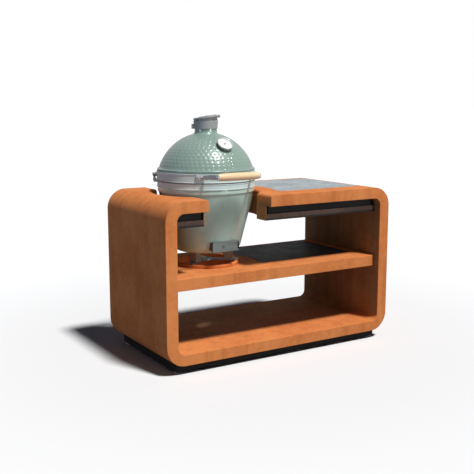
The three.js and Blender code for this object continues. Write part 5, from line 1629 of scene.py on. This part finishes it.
@dataclass
class Hinge:
    """The two springs on the hinge pin and the two side arms that carry its ends. Sizes in millimetres."""

    x: float = AXIS_X
    y: float = 340.0
    z: float = 1004.55
    coil: float = 8.9
    wire: float = 1.9
    pitch: float = 6.4
    turns: float = 5.5
    start: float = 40.0
    leg: float = 26.0
    pin_end: float = 131.0
    band_face: float = 279.3
    arm_low: float = 960.0
    arm_high: float = 980.0
    arm_line: Outline = ((148, 258), (157, 282), (160, 312), (160, 334))
    end_plate: Outline = (
        (312, 961), (345, 958), (359, 971), (351, 990), (352, 1015), (329, 1015), (326, 988), (312, 979),
    )
    foot_turns: Pair = (0.66, 0.52)
    end_place: float = 158.0
    sheet: float = 4.0
    side_coil: tuple[float, float, float, float] = (137.0, 5.6, 11.0, 2.4)
    painted_shade_share: float = 0.7

    def side_arm(self, side: int) -> Obj:
        """A side arm: a foot on the lower band, a strip running back, an end plate and a stub at the pin.

        Args:
            side: 1 for the right arm, -1 for the left one.

        Returns:
            The arm.
        """
        begin, finish = (QUARTER - turn for turn in self.foot_turns)
        foot = arc(0, 0, self.band_face + self.sheet / 2, begin, finish, 5)
        line = np.vstack((foot, smooth_through(self.arm_line, 4)))
        along = np.gradient(line, axis=0)
        across = np.column_stack((-along[:, 1], along[:, 0])) / np.linalg.norm(along, axis=1, keepdims=True)
        across *= self.sheet / 2
        plan = np.vstack((line - across, (line + across)[::-1]))
        if side < 0:
            plan = (plan * (-1, 1))[::-1]
        strip = plate("strip", plan, self.arm_low, self.arm_high, 0.8)
        near = self.end_place if side > 0 else -self.end_place - self.sheet
        end = plate("end", rounded(self.end_plate, 6, 4), 0, self.sheet, 0.8)
        end = moved(end, (near, 0, 0), UPRIGHT)
        pin = self.pin_end + 0.5
        profile = [(0, pin), (7, pin), (7, 163), (11, 163), (11, 168), (8, 170), (0, 170)]
        stub = moved(lathe("stub", profile, 24), (0, self.y, self.z), turned("y", side * QUARTER))
        begin, pitch, radius, thickness = self.side_coil
        coil = helix(side * begin, side * pitch, radius, 0, 3, 73)
        wire = moved(tube("wire", coil, thickness, 10), (0, self.y, self.z))
        return moved(joined(f"hinge_side_{hand(side)}", [strip, end, stub, wire]), (self.x, 0, 0))

    def spring(self, side: int) -> Obj:
        """A helix about the pin with a straight leg at each end, reaching forwards."""
        coil = helix(side * self.start, side * self.pitch, self.coil, -QUARTER, self.turns, 133)
        forward = np.array([0, -self.leg, 0])
        path = np.vstack(([coil[0] + forward], coil, [coil[-1] + forward]))
        return moved(tube(f"coil_{hand(side)}", path, self.wire, 10), (self.x, self.y, self.z))

    def build(self, finishes: Finishes) -> None:
        """Makes and dresses the springs and the side arms."""
        for side in (-1, 1):
            # The springs and side arms get painted shade.
            spring = mark_painted_shading(self.spring(side), self.painted_shade_share)
            arm = mark_painted_shading(self.side_arm(side), self.painted_shade_share)
            ready(spring, Body.TABLE, "steel", finishes, f"hinge_spring_{hand(side)}")
            ready(arm, Body.TABLE, "steel", finishes)


@dataclass
class CadPieces:
    """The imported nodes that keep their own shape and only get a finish, by slot."""

    kept: dict[str, tuple[str, ...]] = field(
        default_factory=lambda: {
            # The plinth and the shelf rails are near black as painted shade.
            "black_steel": ("plinth_frame", "shelf_rail_left", "shelf_rail_right"),
            "zinc": (
                "stand_spider",
                "levelling_foot_front_left", "levelling_foot_front_right",
                "levelling_foot_rear_left", "levelling_foot_rear_right",
            ),
            "firebrick": ("fire_box", "fire_ring"),
            "band_steel": ("lower_hinge_bracket", "upper_hinge_bracket"),
            "cast_iron": ("fire_grate",),
            "needle": ("thermometer_needle",),
            "steel": (
                "lower_hinge_bolt_left", "lower_hinge_bolt_right",
                "upper_hinge_bolt_left", "upper_hinge_bolt_right",
                "hinge_pin", "cooking_grid", "cap_clamp_bolt", "thermometer_nut",
            ),
        }
    )

    def build(self, finishes: Finishes) -> None:
        """Dresses every kept node."""
        for slot, names in self.kept.items():
            for name in names:
                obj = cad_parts[name]
                finishes.dress(obj, slot)
                LOG.info("%s: CAD node, dressed as %s", name, slot)


# The studio


@dataclass(frozen=True)
class Lamp:
    """A sun lamp: its strength, its spread in degrees, and the direction that it shines from."""

    name: str
    strength: float
    spread: float
    place: Triple
    color: Triple = (1.0, 1.0, 1.0)

    def build(self) -> None:
        """Adds the lamp to the scene."""
        data = bpy.data.lights.new(self.name, "SUN")
        data.energy = self.strength
        data.color = self.color
        data.angle = math.radians(self.spread)
        x, y, z = self.place
        tilt = math.acos(z / math.sqrt(x * x + y * y + z * z))
        linked(self.name, data).rotation_euler = (tilt, 0, math.atan2(x, -y))


@dataclass
class Studio:
    """Camera, floor, daylight and the pale surroundings."""

    place: Triple = (-2.5511, -3.9802, 1.4239)
    yaw: float = 31.701
    pitch: float = 9.5
    lens: float = 61.03
    lamps: tuple[Lamp, ...] = (
        Lamp("sun", 3.5, 8.0, (0.141, -0.442, 0.885)),
        Lamp("front_fill", 0.95, 12.0, (0.34, -0.94, 0.0)),
        Lamp("side_fill", 0.27, 12.0, (-1.0, 0.0, 0.0), (0.9, 1.14, 1.8)),
    )
    ambient: Triple = (0.022, 0.027, 0.036)
    mirrored: float = 0.6
    bounce: Triple = (0.2, 0.22, 0.25)
    near_floor: float = 0.88
    far_floor: float = 1.03
    floor_size: float = 60.0

    def camera(self) -> None:
        """The camera, from the perspective of the photo's straight edges."""
        data = bpy.data.cameras.new("camera")
        data.lens = self.lens
        data.sensor_width = 36.0
        data.clip_end = 200.0
        obj = linked("camera", data)
        obj.location = self.place
        obj.rotation_euler = (math.radians(90 - self.pitch), 0, math.radians(-self.yaw))
        bpy.context.scene.camera = obj

    def floor(self) -> None:
        """A pale floor that is lighter for camera rays than for the light it throws back."""
        half = self.floor_size / 2 / MM
        corners = np.array([(-half, -half, 0), (half, -half, 0), (half, half, 0), (-half, half, 0)])
        obj = mesh_object("floor", corners, [(0, 1, 2, 3)])
        material = bpy.data.materials.new("floor")
        graph = emptied(material)
        seen = graph.add("LightPath").outputs["Is Camera Ray"]
        where = graph.add("TexCoord").outputs["Object"]
        away = graph.add("VectorMath", {"operation": "LENGTH"}, in0=where).outputs["Value"]
        level = graph.span(away, 0.6, 3.4, self.near_floor, self.far_floor)
        gray = graph.add("CombineColor", Red=level, Green=level, Blue=level).outputs[0]
        graph.show(graph.add("BsdfDiffuse", Color=graph.mix(seen, (*self.bounce, 1), gray)))
        obj.data.materials.append(material)

    def world(self) -> None:
        """White for camera and transmission rays, grey for glossy rays, and a soft light on the object."""
        world = bpy.data.worlds.new("surroundings")
        bpy.context.scene.world = world
        graph = emptied(world)
        path = graph.add("LightPath").outputs
        seen = graph.math("MAXIMUM", path["Is Camera Ray"], path["Is Transmission Ray"])
        gray = (self.mirrored, self.mirrored, self.mirrored, 1)
        color = graph.mix(path["Is Glossy Ray"], (*self.ambient, 1), gray)
        back = graph.add("Background", Color=graph.mix(seen, color, (1, 1, 1, 1)))
        graph.show(back, "OutputWorld")

    def build(self) -> None:
        """Sets up the camera, the floor, the world, the lamps and plain display colours."""
        self.camera()
        self.floor()
        self.world()
        for lamp in self.lamps:
            lamp.build()
        bpy.context.scene.view_settings.view_transform = "Standard"


def main() -> None:
    """Builds the finishes, the pieces in order, and the studio."""
    logging.basicConfig(level=logging.INFO, format="%(message)s")
    finishes = Finishes()
    for kind in (SteelTable, Ceramic, Draft, Handle, Vent, Thermometer, Hinge, CadPieces):
        LOG.info("building %s", kind.__name__)
        kind().build(finishes)
    Studio().build()


if __name__ == "__main__":
    main()
